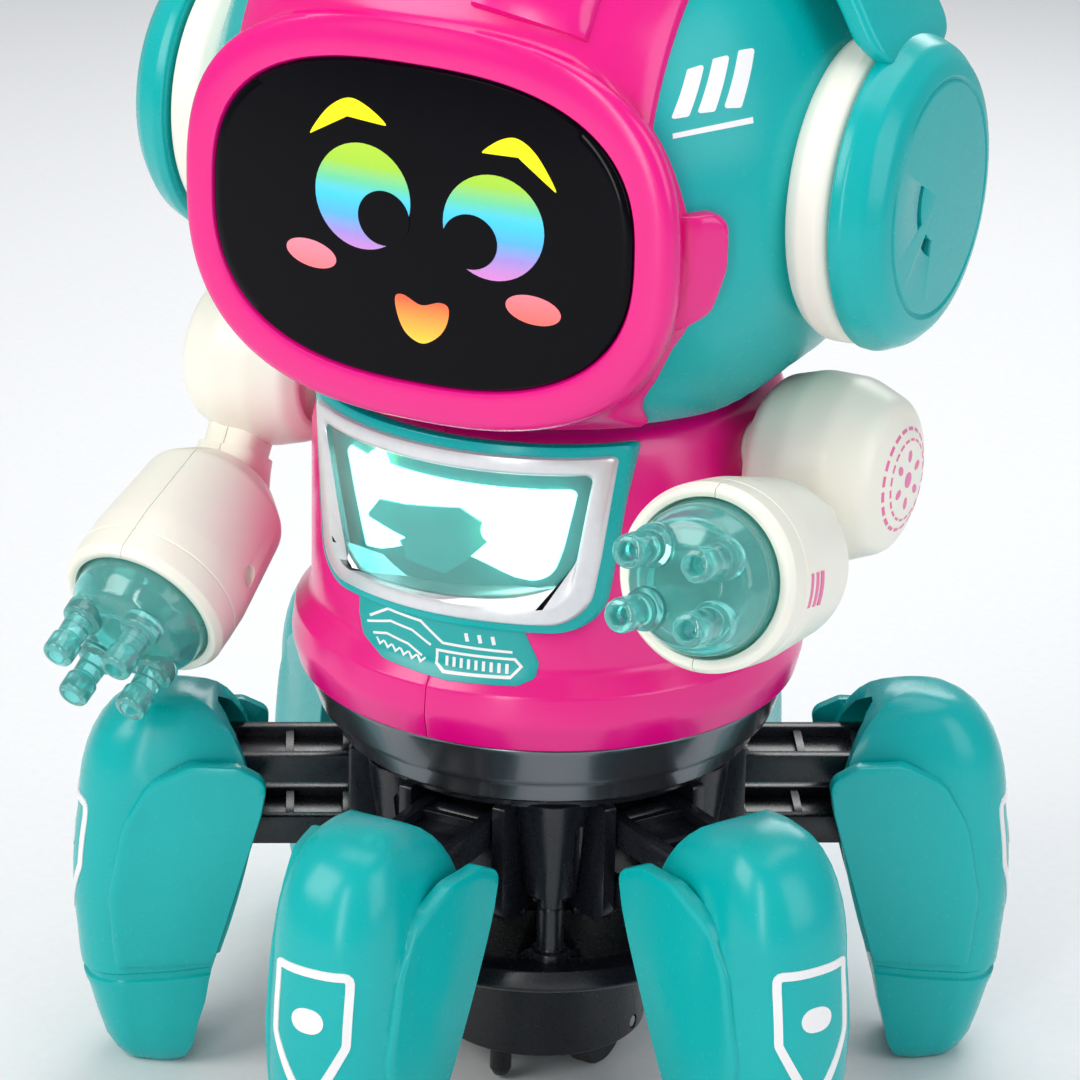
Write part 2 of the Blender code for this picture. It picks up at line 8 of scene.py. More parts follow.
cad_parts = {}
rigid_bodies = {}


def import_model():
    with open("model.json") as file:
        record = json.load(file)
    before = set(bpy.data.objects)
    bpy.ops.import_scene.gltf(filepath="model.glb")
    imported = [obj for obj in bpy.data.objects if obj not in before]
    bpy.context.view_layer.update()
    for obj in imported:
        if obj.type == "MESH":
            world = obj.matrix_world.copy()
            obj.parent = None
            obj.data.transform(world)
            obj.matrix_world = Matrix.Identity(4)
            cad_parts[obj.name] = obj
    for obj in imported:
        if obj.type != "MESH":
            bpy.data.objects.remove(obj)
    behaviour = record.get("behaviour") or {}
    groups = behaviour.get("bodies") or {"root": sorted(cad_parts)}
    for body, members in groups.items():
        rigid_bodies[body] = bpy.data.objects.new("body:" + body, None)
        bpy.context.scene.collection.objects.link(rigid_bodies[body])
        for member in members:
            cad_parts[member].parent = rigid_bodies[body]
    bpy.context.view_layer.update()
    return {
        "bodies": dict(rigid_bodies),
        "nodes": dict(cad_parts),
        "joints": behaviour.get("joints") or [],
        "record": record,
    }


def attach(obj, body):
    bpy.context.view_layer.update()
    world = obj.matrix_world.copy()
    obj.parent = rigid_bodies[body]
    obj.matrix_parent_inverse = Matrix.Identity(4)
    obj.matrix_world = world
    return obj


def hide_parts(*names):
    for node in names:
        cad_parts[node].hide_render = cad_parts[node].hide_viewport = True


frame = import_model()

mm = 0.001


def linearColour(hexColour):
    values = [int(hexColour[i:i + 2], 16) / 255 for i in (1, 3, 5)]
    return tuple(v / 12.92 if v <= 0.04045 else ((v + 0.055) / 1.055) ** 2.4 for v in values) + (1,)


# ---- mesh tools: points are in millimetres, meshes in metres

def skin(rows, ring=True, capFirst=False, capLast=False):
    # faces between rows of points; ring joins the last point of a row to its first
    shape = bmesh.new()
    loops = [[shape.verts.new(Vector(p) * mm) for p in row] for row in rows]
    count = len(rows[0])
    for low, high in zip(loops, loops[1:]):
        for i in range(count if ring else count - 1):
            k = (i + 1) % count
            shape.faces.new((low[i], low[k], high[k], high[i]))
    ends = [loops[0]] * capFirst + [loops[-1]] * capLast
    caps = [shape.faces.new(end) for end in ends]
    if caps:
        bmesh.ops.triangulate(shape, faces=caps)
    bmesh.ops.remove_doubles(shape, verts=shape.verts, dist=0.000004)
    bmesh.ops.dissolve_degenerate(shape, edges=shape.edges, dist=0.000001)
    bmesh.ops.recalc_face_normals(shape, faces=shape.faces)
    mesh = bpy.data.meshes.new("skin")
    shape.to_mesh(mesh)
    shape.free()
    return mesh


def solid(rows):
    # the same with both ends closed
    return skin(rows, capFirst=True, capLast=True)


def turns(count):
    # the angles of a full turn in even steps
    return [2 * math.pi * i / count for i in range(count)]


def shrunk(outline, middle, share):
    # an outline drawn in towards a point
    return [(middle[0] + (u - middle[0]) * share, middle[1] + (v - middle[1]) * share) for u, v in outline]


def placed(name, data):
    # an object that holds the data, in the scene
    made = bpy.data.objects.new(name, data)
    bpy.context.scene.collection.objects.link(made)
    return made


def modified(mesh, kind, **settings):
    # the mesh with one modifier applied
    holder = placed("holder", mesh)
    modifier = holder.modifiers.new(kind, kind)
    for name, value in settings.items():
        setattr(modifier, name, value)
    bpy.context.view_layer.update()
    graph = bpy.context.evaluated_depsgraph_get()
    result = bpy.data.meshes.new_from_object(holder.evaluated_get(graph))
    bpy.data.objects.remove(holder)
    return result


def softened(mesh, width, steps=2, angle=32):
    # rounds every edge sharper than the angle, as a mould does
    return modified(mesh, "BEVEL", width=width * mm, segments=steps, limit_method="ANGLE",
        angle_limit=math.radians(angle), miter_outer="MITER_ARC", use_clamp_overlap=True)


def walled(mesh, thickness):
    return modified(mesh, "SOLIDIFY", thickness=thickness * mm, offset=-1, use_even_offset=True,
        thickness_clamp=1.5)


def boolean(operation, mesh, *tools, crossing=False):
    # crossing says that a tool is made of bodies that run into each other
    for tool in tools:
        holder = placed("tool", tool)
        mesh = modified(mesh, "BOOLEAN", operation=operation, solver="EXACT", object=holder,
            use_self=crossing)
        bpy.data.objects.remove(holder)
    return mesh


def grouped(*meshes):
    # several meshes as one
    shape = bmesh.new()
    for mesh in meshes:
        shape.from_mesh(mesh)
    result = bpy.data.meshes.new("group")
    shape.to_mesh(result)
    shape.free()
    return result


def turnAbout(axis, degrees, centre=(0, 0, 0)):
    centre = Vector(centre) * mm
    turn = Matrix.Rotation(math.radians(degrees), 4, axis)
    return Matrix.Translation(centre) @ turn @ Matrix.Translation(-centre)


def shift(*amount):
    return Matrix.Translation(Vector(amount) * mm)


def moved(mesh, *steps):
    # a copy of the mesh after each matrix in turn; a mirrored copy is turned right side out
    copy = mesh.copy()
    mirrored = False
    for step in steps:
        copy.transform(step)
        mirrored ^= step.determinant() < 0
    if mirrored:
        copy.flip_normals()
    return copy


mirrorX = Matrix.Diagonal((-1, 1, 1, 1))


def rounded(corners, closed=True, steps=4):
    # (x, y, radius) corners as an outline with filleted corners
    points = []
    count = len(corners)
    for i, (x, y, radius) in enumerate(corners):
        here = Vector((x, y))
        end = not closed and i in (0, count - 1)
        before = Vector(corners[i - 1][:2]) - here
        after = Vector(corners[(i + 1) % count][:2]) - here
        half = 0 if end or radius == 0 else before.angle(after) / 2
        if half == 0 or half > math.radians(88.5):
            points.append((x, y))
            continue
        reach = min(radius / math.tan(half), before.length * 0.48, after.length * 0.48)
        radius = reach * math.tan(half)
        before, after = before.normalized(), after.normalized()
        centre = here + (before + after).normalized() * radius / math.sin(half)
        start, stop = here + before * reach - centre, here + after * reach - centre
        for k in range(steps + 1):
            arm = start.slerp(stop, k / steps).normalized() * radius
            points.append(tuple(centre + arm))
    return points


def lathe(corners, axis="Z", centre=(0, 0, 0), steps=96, closed=False, fillet=3):
    # (radius, height, fillet) corners turned about an axis; closed for the section of a ring
    profile = rounded(corners, closed, fillet)
    if closed:
        profile.append(profile[0])
    rows = []
    for radius, height in profile:
        rows.append([(radius * math.cos(a), radius * math.sin(a), height) for a in turns(steps)])
    mesh = skin(rows)
    if axis == "X":
        mesh.transform(Matrix.Rotation(math.pi / 2, 4, "Y"))
    if axis == "-Y":
        mesh.transform(Matrix.Rotation(math.pi / 2, 4, "X"))
    mesh.transform(shift(*centre))
    return mesh


def rod(radius, low, high, axis="Z", centre=(0, 0, 0), steps=32):
    return lathe([(0, low, 0), (radius, low, 0), (radius, high, 0), (0, high, 0)], axis, centre, steps)


def slab(outline, ends):
    # an outline in y and z, filled between two values of x
    return solid([[(x, y, z) for y, z in outline] for x in sorted(ends)])


def block(low, high, edge=0.0):
    corners = [(low[0], low[1]), (high[0], low[1]), (high[0], high[1]), (low[0], high[1])]
    mesh = solid([[(x, y, z) for x, y in corners] for z in (low[2], high[2])])
    return softened(mesh, edge, 2) if edge else mesh


def plate(outline, low, high, place):
    # a flat outline given thickness; place(u, v, height) says where each point is
    return solid([[place(u, v, h) for u, v in outline] for h in (low, high)])


def film(outline, place, lift=0.1, sink=0.15, rings=8):
    # a thin closed patch that follows a curved surface; place(u, v, lift) is a point on it
    middle = (sum(u for u, v in outline) / len(outline), sum(v for u, v in outline) / len(outline))
    rows = [[place(u, v, -sink) for u, v in outline]]
    for k in range(rings + 1):
        share = 1 - k / rings
        rows.append([place(u, v, lift) for u, v in shrunk(outline, middle, share)])
    return skin(rows, capFirst=True)


def ribbon(points, width, place, closed=False, lift=0.1, sink=0.12):
    # a printed or raised line of even width along points on a surface
    count = len(points)
    rows = []
    for i, point in enumerate(points):
        here = Vector(point)
        back = Vector(points[i - 1]) if closed or i > 0 else here
        ahead = Vector(points[(i + 1) % count]) if closed or i < count - 1 else here
        before, after = (here - back), (ahead - here)
        before = before.normalized() if before.length else after.normalized()
        after = after.normalized() if after.length else before
        normal = Vector((-(before + after).y, (before + after).x)).normalized()
        miter = width / 2 / max(normal.dot(Vector((-after.y, after.x))), 0.4)
        left, right = here + normal * miter, here - normal * miter
        rows.append([place(*left, -sink), place(*left, lift), place(*right, lift), place(*right, -sink)])
    if closed:
        return skin(rows + rows[:1])
    return solid(rows)


def finely(points, longest=2.0):
    # splits the long sides of an outline
    result = []
    for i, point in enumerate(points):
        here, ahead = Vector(point), Vector(points[(i + 1) % len(points)])
        count = max(int((ahead - here).length / longest), 1)
        result += [tuple(here.lerp(ahead, k / count)) for k in range(count)]
    return result


def pad(place, height, edge, sink, counts):
    # a raised cushion on a moulding, with rounded edges; place(u, v, rise, inset) takes u and v from 0 to 1
    def steps(low, high, count):
        inside = [low + (high - low) * i / count for i in range(1, count)]
        return [low, low, low + 0.001] + inside + [high - 0.001, high, high]

    def share(i, count):
        return {0: -1.0, 1: 0.0, 2: 0.62}.get(min(i, count - 1 - i), 1.0)

    vs = steps(0, 1, counts[1])
    us = steps(0, 1, counts[0])
    rows = []
    for j, v in enumerate(vs):
        row = []
        for i, u in enumerate(us):
            rise = min(share(i, len(us)), share(j, len(vs)))
            inset = {-1.0: 0.0, 0.0: 0.0, 0.62: 0.35}.get(rise, 1.0) * edge
            row.append(place(u, v, rise * height if rise > 0 else rise * sink, inset))
        rows.append(row)
    return skin(rows, ring=False)


def along(table, x):
    # a smooth curve through (x, value) pairs
    if x <= table[0][0]:
        return table[0][1]
    for i in range(len(table) - 1):
        (x0, y0), (x1, y1) = table[i], table[i + 1]
        if x <= x1:
            t = (x - x0) / (x1 - x0)
            xa, ya = table[max(i - 1, 0)]
            xb, yb = table[min(i + 2, len(table) - 1)]
            m0 = (y1 - ya) / (x1 - xa) * (x1 - x0)
            m1 = (yb - y0) / (xb - x0) * (x1 - x0)
            a, b = 2 * t ** 3 - 3 * t * t + 1, t ** 3 - 2 * t * t + t
            return a * y0 + b * m0 + (1 - a) * y1 + (t ** 3 - t * t) * m1
    return table[-1][1]


def superPoint(angle, halfWidth, halfHeight, power):
    c, s = math.cos(angle), math.sin(angle)
    return (halfWidth * math.copysign(abs(c) ** (2 / power), c),
        halfHeight * math.copysign(abs(s) ** (2 / power), s))


def piece(name, mesh, finish, body, replaced=(), sharp=38):
    mesh.name = name
    made = placed(name, mesh)
    mesh.materials.clear()
    mesh.materials.append(finish)
    mesh.shade_smooth()
    mesh.set_sharp_from_angle(angle=math.radians(sharp))
    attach(made, body)
    if replaced:
        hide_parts(*replaced)
    return made


# ---- materials

def addNode(tree, kind, settings=None, inputs=None):
    node = tree.nodes.new("ShaderNode" + kind)
    for name, value in (settings or {}).items():
        setattr(node, name, value)
    for name, value in (inputs or {}).items():
        if isinstance(value, bpy.types.NodeSocket):
            tree.links.new(value, node.inputs[name])
        else:
            node.inputs[name].default_value = value
    return node


def perSize(size):
    # the noise scale that gives features of this size in millimetres
    return 1 / (size * mm)


def startMaterial(name, values):
    # a material, its tree, its shader and the place of each point on the piece
    made = bpy.data.materials.new(name)
    made.use_nodes = True
    tree = made.node_tree
    shader = tree.nodes["Principled BSDF"]
    for socket, value in values.items():
        shader.inputs[socket].default_value = value
    return made, tree, shader, addNode(tree, "TexCoord").outputs["Object"]


def twoTone(tree, place, size, detail, colours, *sockets):
    # fills the sockets with a colour that drifts between two tones, in patches of this size
    patches = addNode(tree, "TexNoise", inputs={"Vector": place, "Scale": perSize(size), "Detail": detail})
    mix = addNode(tree, "Mix", {"data_type": "RGBA"},
        {0: patches.outputs["Fac"], 6: linearColour(colours[0]), 7: linearColour(colours[1])})
    for socket in sockets:
        tree.links.new(mix.outputs[2], socket)
    return patches.outputs["Fac"]


def unevenGloss(tree, shader, pattern, low, high):
    # the roughness goes from low to high with a pattern
    rough = addNode(tree, "MapRange", inputs={0: pattern, 3: low, 4: high})
    tree.links.new(rough.outputs[0], shader.inputs["Roughness"])


def moulded(name, colour, deep, gloss=0.24, drift=18, grain=0.9, peel=2.2, peelDepth=0.006, **values):
    # injection moulded plastic: the colour drifts a little with wall thickness, the gloss is broken
    # by fine grain, and the surface has the slow ripple of a polished mould
    made, tree, shader, place = startMaterial(name, {"IOR": 1.54, "Roughness": gloss, **values})
    twoTone(tree, place, drift, 2.0, (colour, deep), shader.inputs["Base Color"])
    fine = addNode(tree, "TexNoise", inputs={"Vector": place, "Scale": perSize(grain), "Detail": 3.0})
    unevenGloss(tree, shader, fine.outputs["Fac"], gloss - 0.05, gloss + 0.06)
    ripple = addNode(tree, "TexNoise", inputs={"Vector": place, "Scale": perSize(peel), "Detail": 1.0})
    bump = addNode(tree, "Bump", inputs={"Height": ripple.outputs["Fac"], "Strength": 0.5,
            "Distance": peelDepth * mm})
    tree.links.new(bump.outputs[0], shader.inputs["Normal"])
    return made


def glowing(name, colour, edge, strength):
    # a lit diffuser that glows alike all over, with a faint mottle from the moulding
    made, tree, shader, place = startMaterial(name, {"Roughness": 0.5, "Emission Strength": strength})
    twoTone(tree, place, 5, 2.0, (colour, edge), shader.inputs["Base Color"], shader.inputs["Emission Color"])
    return made


def clearPlastic(name, colour, deep, roughness, transmission):
    # tinted polycarbonate: light comes through it, with flow lines where it filled the mould
    made, tree, shader, place = startMaterial(name, {"IOR": 1.585, "Transmission Weight": transmission})
    twoTone(tree, place, 6, 2.0, (colour, deep), shader.inputs["Base Color"])
    fine = addNode(tree, "TexNoise", inputs={"Vector": place, "Scale": perSize(1.5), "Detail": 2.0})
    unevenGloss(tree, shader, fine.outputs["Fac"], roughness, roughness + 0.08)
    return made


def printed(name, stops, low, high, gloss=0.3, glow=0.0, specular=0.5):
    # ink on plastic that shades from one colour to the next between two heights (mm)
    made, tree, shader, place = startMaterial(name, {"Roughness": gloss, "Emission Strength": glow,
            "Specular IOR Level": specular})
    height = addNode(tree, "SeparateXYZ", inputs={0: place}).outputs[2]
    level = addNode(tree, "MapRange", inputs={0: height, 1: low * mm, 2: high * mm})
    ramp = addNode(tree, "ValToRGB", inputs={0: level.outputs[0]})
    ramp.color_ramp.elements[0].color = linearColour(stops[0])
    ramp.color_ramp.elements[1].color = linearColour(stops[-1])
    for k, stop in enumerate(stops[1:-1], 1):
        ramp.color_ramp.elements.new(k / (len(stops) - 1)).color = linearColour(stop)
    speck = addNode(tree, "TexNoise", inputs={"Vector": place, "Scale": perSize(0.7), "Detail": 2.0})
    dust = addNode(tree, "MapRange", inputs={0: speck.outputs["Fac"], 3: 0.94, 4: 1.0})
    ink = addNode(tree, "Mix", {"data_type": "RGBA", "blend_type": "MULTIPLY"},
        {0: 1.0, 6: ramp.outputs[0], 7: dust.outputs[0]})
    tree.links.new(ink.outputs[2], shader.inputs["Base Color"])
    if glow:
        tree.links.new(ink.outputs[2], shader.inputs["Emission Color"])
    return made


def metal(name, colour, dark, roughness, size=0.5, metallic=1.0, scratch=0.08):
    # bare or painted metal: its tone and its gloss vary together, in fine flecks
    made, tree, shader, place = startMaterial(name, {"Metallic": metallic})
    flecks = twoTone(tree, place, size, 4.0, (colour, dark), shader.inputs["Base Color"])
    unevenGloss(tree, shader, flecks, roughness, roughness + scratch)
    return made


# high-gloss ABS, polished mould: saturated, with clean soft-edged highlights
pinkAbs = moulded("glossAbsPink", "#F00A88", "#E60482", gloss=0.22,
    **{"Specular IOR Level": 0.5, "Coat Weight": 0.12, "Coat Roughness": 0.2})
# the same ABS in the teal of the helmet and legs
tealAbs = moulded("glossAbsTeal", "#00B5B3", "#00ABAC", gloss=0.25, **{"Specular IOR Level": 0.36})
# satin ABS in warm white: light goes a little way in, so its shadows stay soft
ivoryAbs = moulded("satinAbsIvory", "#FBF8EC", "#F7F3E4", gloss=0.34, peelDepth=0.008,
    **{"Subsurface Weight": 0.12, "Subsurface Scale": 0.002})
# the soft pad of the headphones is moulded with a finer matt than the arms
padTpe = moulded("softTpeIvory", "#FBF8EE", "#F7F3E6", gloss=0.46, grain=0.5, peel=0.8, peelDepth=0.014)
# black ABS straight from the tool: satin, with faint sink marks
blackAbs = moulded("satinAbsBlack", "#14151B", "#1B1D25", gloss=0.28, drift=9)
# the ring under the torso is black with a metallised lacquer, so it takes broad bright bands
ringAbs = moulded("lacquerBlackAbs", "#7A7C82", "#6C6E74", gloss=0.24, peelDepth=0.002,
    **{"Metallic": 0.85, "Coat Weight": 0.5, "Coat Roughness": 0.08})
# cast acrylic over a black mask: deep black with a mirror gloss
screenAcrylic = moulded("acrylicBlack", "#020207", "#04040A", gloss=0.1, peelDepth=0.001,
    **{"IOR": 1.49, "Specular IOR Level": 0.12})
# aluminium-flake paint on ABS: bright grey with a soft metallic roll-off
silverPaint = metal("silverPaintAbs", "#E6E8EA", "#DADCDF", 0.3, size=1.6, metallic=0.6, scratch=0.04)
# tinted polycarbonate of the hands and the chest lens
handPc = clearPlastic("polycarbonateTeal", "#A6FAF6", "#86F2EE", 0.04, 0.8)
lensPc = clearPlastic("polycarbonateLens", "#BDF6F2", "#A6F0EC", 0.03, 0.92)
# drawn and plated steel of pins, screws, shaft and axle
steel = metal("platedSteel", "#C9CBCE", "#A3A6AB", 0.26, size=0.3)
# acetal gears: milky white and waxy
acetal = moulded("acetalWhite", "#EFEFEA", "#E6E6E0", gloss=0.38,
    **{"Subsurface Weight": 0.2, "Subsurface Scale": 0.002})
# nitrile tyres: matt black, a little dusty
tyreRubber = moulded("nitrileBlack", "#1B1B1C", "#262627", gloss=0.72, grain=0.6, peel=0.6, peelDepth=0.03,
    **{"IOR": 1.52})
# FR4 board under green solder mask
boardFr4 = moulded("solderMaskGreen", "#17613A", "#1E7546", gloss=0.32, drift=2.5)
# shrink sleeve of the cells
cellWrap = metal("cellSleeve", "#3A3D44", "#2A2C32", 0.3, size=1.2, metallic=0.4)
# pad-printed inks
whiteInk = printed("padInkWhite", ["#F4F1F2", "#FBFAFA"], 0, 230)
pinkInk = printed("padInkPink", ["#EE6BA6", "#F07BB0"], 100, 130)
# screen-printed film of the label plate
tealFilm = moulded("printedFilmTeal", "#00A3A2", "#0AAAA8", gloss=0.3, grain=0.4)
# white acrylic diffuser over the lamps, the teal plastic lit by it, and the lamps' own lenses
lightPanel = glowing("diffuserAcrylic", "#FFFFFF", "#F4FFFC", 2.6)
litTeal = glowing("litAbsTeal", "#0FA5A4", "#3DB9B8", 0.35)
lampGlow = glowing("lampEpoxy", "#FFFBD0", "#FFF39A", 6.0)
# painted shade: the teal ABS drawn dark, as it looks deep in a slot where little light reaches
slotShadeTeal = moulded("shadowedAbsTeal", "#015F62", "#014F52", gloss=0.5)
print("materials made")


# ---- head

helmet = {"radius": 56.5, "centreZ": 170, "wall": 2.2, "halfGap": 0.1, "lowZ": 131.4, "notchHeight": 7.2,
    "notchAt": 98, "notchFront": 23, "notchBack": 30, "hoodRadius": 57.3}
# where the pink hood ends on the ball: degrees round from the crown, then degrees back from the front
hoodEdge = [(0, 41.6), (40, 41.6), (58, 41.9), (65, 42.7), (74, 44.4), (86, 46.4), (100, 49.2), (114, 51.6),
    (120, 51.2), (128, 52.4), (136, 54.6), (141.2, 61)]


def onBall(radius, back, around):
    b, a = math.radians(back), math.radians(around)
    return Vector((radius * math.sin(b) * math.sin(a), -radius * math.cos(b),
            helmet["centreZ"] + radius * math.sin(b) * math.cos(a)))


def hoodBack(around):
    # the hood's back edge, which follows the level rim of the helmet under the chin
    around = abs((around + 180) % 360 - 180)
    drop = (helmet["centreZ"] - helmet["lowZ"]) / helmet["hoodRadius"]
    if around <= 141.2:
        return along(hoodEdge, around)
    return math.degrees(math.asin(min(drop / -math.cos(math.radians(around)), 1)))


def helmetHalf():
    rows = []
    for i in range(57):
        row = []
        for j in range(73):
            around = 180 * j / 72
            front = hoodBack(around) - 3
            point = onBall(helmet["radius"], front + (180 - front) * (i / 56), around)
            point.x = max(point.x, helmet["halfGap"])
            row.append(point)
        rows.append(row)
    half = walled(skin(rows, ring=False), helmet["wall"])
    # the lower rim rises over each shoulder
    angles = turns(120)
    rows = [[(0.01 * math.sin(a), -0.01 * math.cos(a), 90) for a in angles],
        [(90 * math.sin(a), -90 * math.cos(a), 90) for a in angles]]
    for radius in (90, 20):
        row = []
        for a in angles:
            side = abs((math.degrees(a) + 180) % 360 - 180)
            width = helmet["notchFront"] if side < helmet["notchAt"] else helmet["notchBack"]
            rise = math.exp(-abs((side - helmet["notchAt"]) / width) ** 4)
            z = helmet["lowZ"] + helmet["notchHeight"] * rise
            row.append((radius * math.sin(a), -radius * math.cos(a), z))
        rows.append(row)
    cutter = skin(rows, capLast=True)
    return softened(boolean("DIFFERENCE", half, cutter), 0.35, 2, 40)


def makeHelmet():
    half = helmetHalf()
    piece("helmetLeft", half, tealAbs, "head", ["head_shell_left"])
    piece("helmetRight", moved(half, mirrorX), tealAbs, "head", ["head_shell_right"])


screen = {"halfWidth": 37, "halfHeight": 25.5, "centreZ": 165, "bow": 3, "power": 2.6, "frontY": -50.2}


def screenPoint(x, z, lift=0.0):
    # a point on the bowed face of the screen
    share = (abs(x / screen["halfWidth"]) ** screen["power"]
        + abs((z - screen["centreZ"]) / screen["halfHeight"]) ** screen["power"]) ** (1 / screen["power"])
    return Vector((x, screen["frontY"] + 0.55 * share ** 2 + screen["bow"] * (x / 43) ** 2 - lift, z))


# the rim round the screen: how far each line stands out from the screen's edge sideways and up, and its depth
rimLines = [(-0.7, -0.7, -44.5), (-0.1, -0.1, -48.4), (0.15, 0.15, -49.2), (0.45, 0.45, -49.6),
    (1.1, 1.1, -49.75),
    (3.6, 3.7, -49.65), (5.0, 5.2, -49.45), (5.8, 6.1, -49.05), (6.25, 6.7, -48.4), (6.45, 6.95, -47.5)]


def makeHood():
    rows = [[] for _ in range(len(rimLines) + 12)]
    for k, angle in enumerate(turns(180)):
        for i, (wide, tall, y) in enumerate(rimLines):
            x, z = superPoint(angle, screen["halfWidth"] + wide, screen["halfHeight"] + tall, screen["power"])
            z += screen["centreZ"]
            around = math.degrees(math.atan2(x, z - helmet["centreZ"]))
            forward = max(math.cos(math.radians(around)), 0) ** 2 * 1.7 * max(i - 6, 0) / 3
            rows[i].append((x, y + screen["bow"] * (x / 43) ** 2 - forward, z))
        start = Vector(rows[len(rimLines) - 1][k])
        edge = hoodBack(around)
        low = min(max((abs(around) - 100) / 40, 0), 1)
        end = onBall(helmet["hoodRadius"], edge, around)
        before = onBall(helmet["hoodRadius"], edge - 4 + 3 * low, around)
        leave = start + Vector((0, 1.2 + 1.8 * min(abs(around) / 90, 1), 0))
        for j in range(1, 10):
            t = j / 9
            s = 1 - t
            rows[len(rimLines) + j - 1].append(start * s ** 3 + leave * 3 * s * s * t
                + before * 3 * s * t * t + end * t ** 3)
        for j, (radius, step) in enumerate(((57.1, 0.25), (56.7, 0.35), (55.9, 0.4)), 9):
            rows[len(rimLines) + j].append(onBall(radius, edge + step, around))
    hood = walled(skin(rows), 1.5)
    # a hinge lug at each side, standing proud of the ball: degrees back and round, and the corner's fillet
    lug = finely(rounded([(42.0, 89.4, 1.0), (53.2, 88.4, 3.6), (54.2, 100.0, 6.0), (53.6, 109.5, 4.5),
            (49.6, 114.6, 4.0), (43.0, 116.4, 1.0)], True, 6), 1.2)
    middle = (48.5, 101.0)
    rows = []
    for share, rise in ((1, -1.4), (1, 0.9), (0.985, 1.35), (0.95, 1.65), (0.88, 1.8), (0.7, 1.85),
            (0.45, 1.85), (0.2, 1.85), (0.002, 1.85)):
        row = []
        for back, around in shrunk(lug, middle, share):
            # it grows out of the hood towards its back edge
            blend = min(max((back - 43.5) / 5.0, 0), 1)
            lift = rise if rise < 0 else (rise + 0.4) * blend * blend * (3 - 2 * blend) - 0.4
            row.append(onBall(helmet["hoodRadius"] + lift, back, around))
        rows.append(row)
    bump = skin(rows, capFirst=True)
    piece("faceHood", grouped(hood, bump, moved(bump, mirrorX)), pinkAbs, "head", ["face_mask"])


crown = {"halfWidth": 36.6, "backWidth": 21, "frontY": -42.9, "backAngle": 150, "padInner": 8.8,
    "padOuter": 26.6}


def crownPoint(x, turn, radius):
    # the ball's radius in the slice at this x
    around = math.sqrt(max(radius ** 2 - x * x, 1))
    t = math.radians(turn)
    return Vector((x, -around * math.cos(t), helmet["centreZ"] + around * math.sin(t)))


def makeCrown():
    shares = [-1, -1, -0.997, -0.985] + [i / 15 for i in range(-14, 15)] + [0.985, 0.997, 1, 1]
    drops = {0: 1.6, 1: 0.7, 2: 0.2}
    rows = []
    for j in range(62):
        t = min(max((j - 2) / 57, 0), 1)
        row = []
        for i, u in enumerate(shares):
            lane = min(i, len(shares) - 1 - i)
            radius = helmet["hoodRadius"] - max(drops.get(lane, 0), drops.get(61 - j, 0))
            flat = crown["halfWidth"] * u
            first = math.degrees(math.acos(-crown["frontY"] / math.sqrt(helmet["hoodRadius"] ** 2 - flat ** 2)))
            turn = first + (crown["backAngle"] - first) * t
            narrow = max((turn - 96) / (crown["backAngle"] - 96), 0)
            narrow = narrow * narrow * (3 - 2 * narrow)
            x = u * (crown["halfWidth"] + (crown["backWidth"] - crown["halfWidth"]) * narrow)
            row.append(crownPoint(x, turn, radius))
        rows.append(row)
    band = walled(skin(rows, ring=False), 0.6)

    def brow(u, v, rise, inset):
        x = crown["padInner"] + (crown["padOuter"] - crown["padInner"]) * u + (0.5 - u) * 2 * inset
        first = 33.0 - 1.6 * u
        return crownPoint(x, first + (122 - first) * v + (0.5 - v) * 2 * inset, helmet["hoodRadius"] + rise)
    raised = pad(brow, 1.3, 0.8, 1.4, (12, 40))
    piece("crownBand", grouped(band, raised, moved(raised, mirrorX)), pinkAbs, "head",
        ["crown_band"])


def makeScreen():
    rows = []
    for share in (0.002, 0.2, 0.4, 0.6, 0.75, 0.88, 0.95, 0.985):
        rows.append([screenPoint(x, z + screen["centreZ"]) for x, z in
                (superPoint(a, screen["halfWidth"] * share, screen["halfHeight"] * share, screen["power"])
                for a in turns(144))])
    for extra, y in ((-0.12, -49.35), (0, -49.0), (0, -47.4)):
        row = []
        for a in turns(144):
            x, z = superPoint(a, screen["halfWidth"] + extra, screen["halfHeight"] + extra, screen["power"])
            row.append((x, y + screen["bow"] * (x / 43) ** 2, z + screen["centreZ"]))
        rows.append(row)
    piece("faceScreen", solid(rows), screenAcrylic, "head", ["face_screen"])


def ellipse(x, z, wide, tall, lean=0, count=48):
    # lean turns it clockwise as seen from the front
    a = math.radians(-lean)
    points = []
    for t in turns(count):
        u, v = wide * math.cos(t), tall * math.sin(t)
        points.append((x + u * math.cos(a) - v * math.sin(a), z + u * math.sin(a) + v * math.cos(a)))
    return points


def crescent(points):
    # an outline smoothed through its corner points
    count = len(points)
    smooth = []
    for i in range(count):
        p0, p1, p2, p3 = (Vector(points[(i + k) % count]) for k in (-1, 0, 1, 2))
        for k in range(6):
            t = k / 6
            smooth.append(tuple(0.5 * (2 * p1 + (p2 - p0) * t + (2 * p0 - 5 * p1 + 4 * p2 - p3) * t * t
                    + (3 * p1 - p0 - 3 * p2 + p3) * t ** 3)))
    return smooth


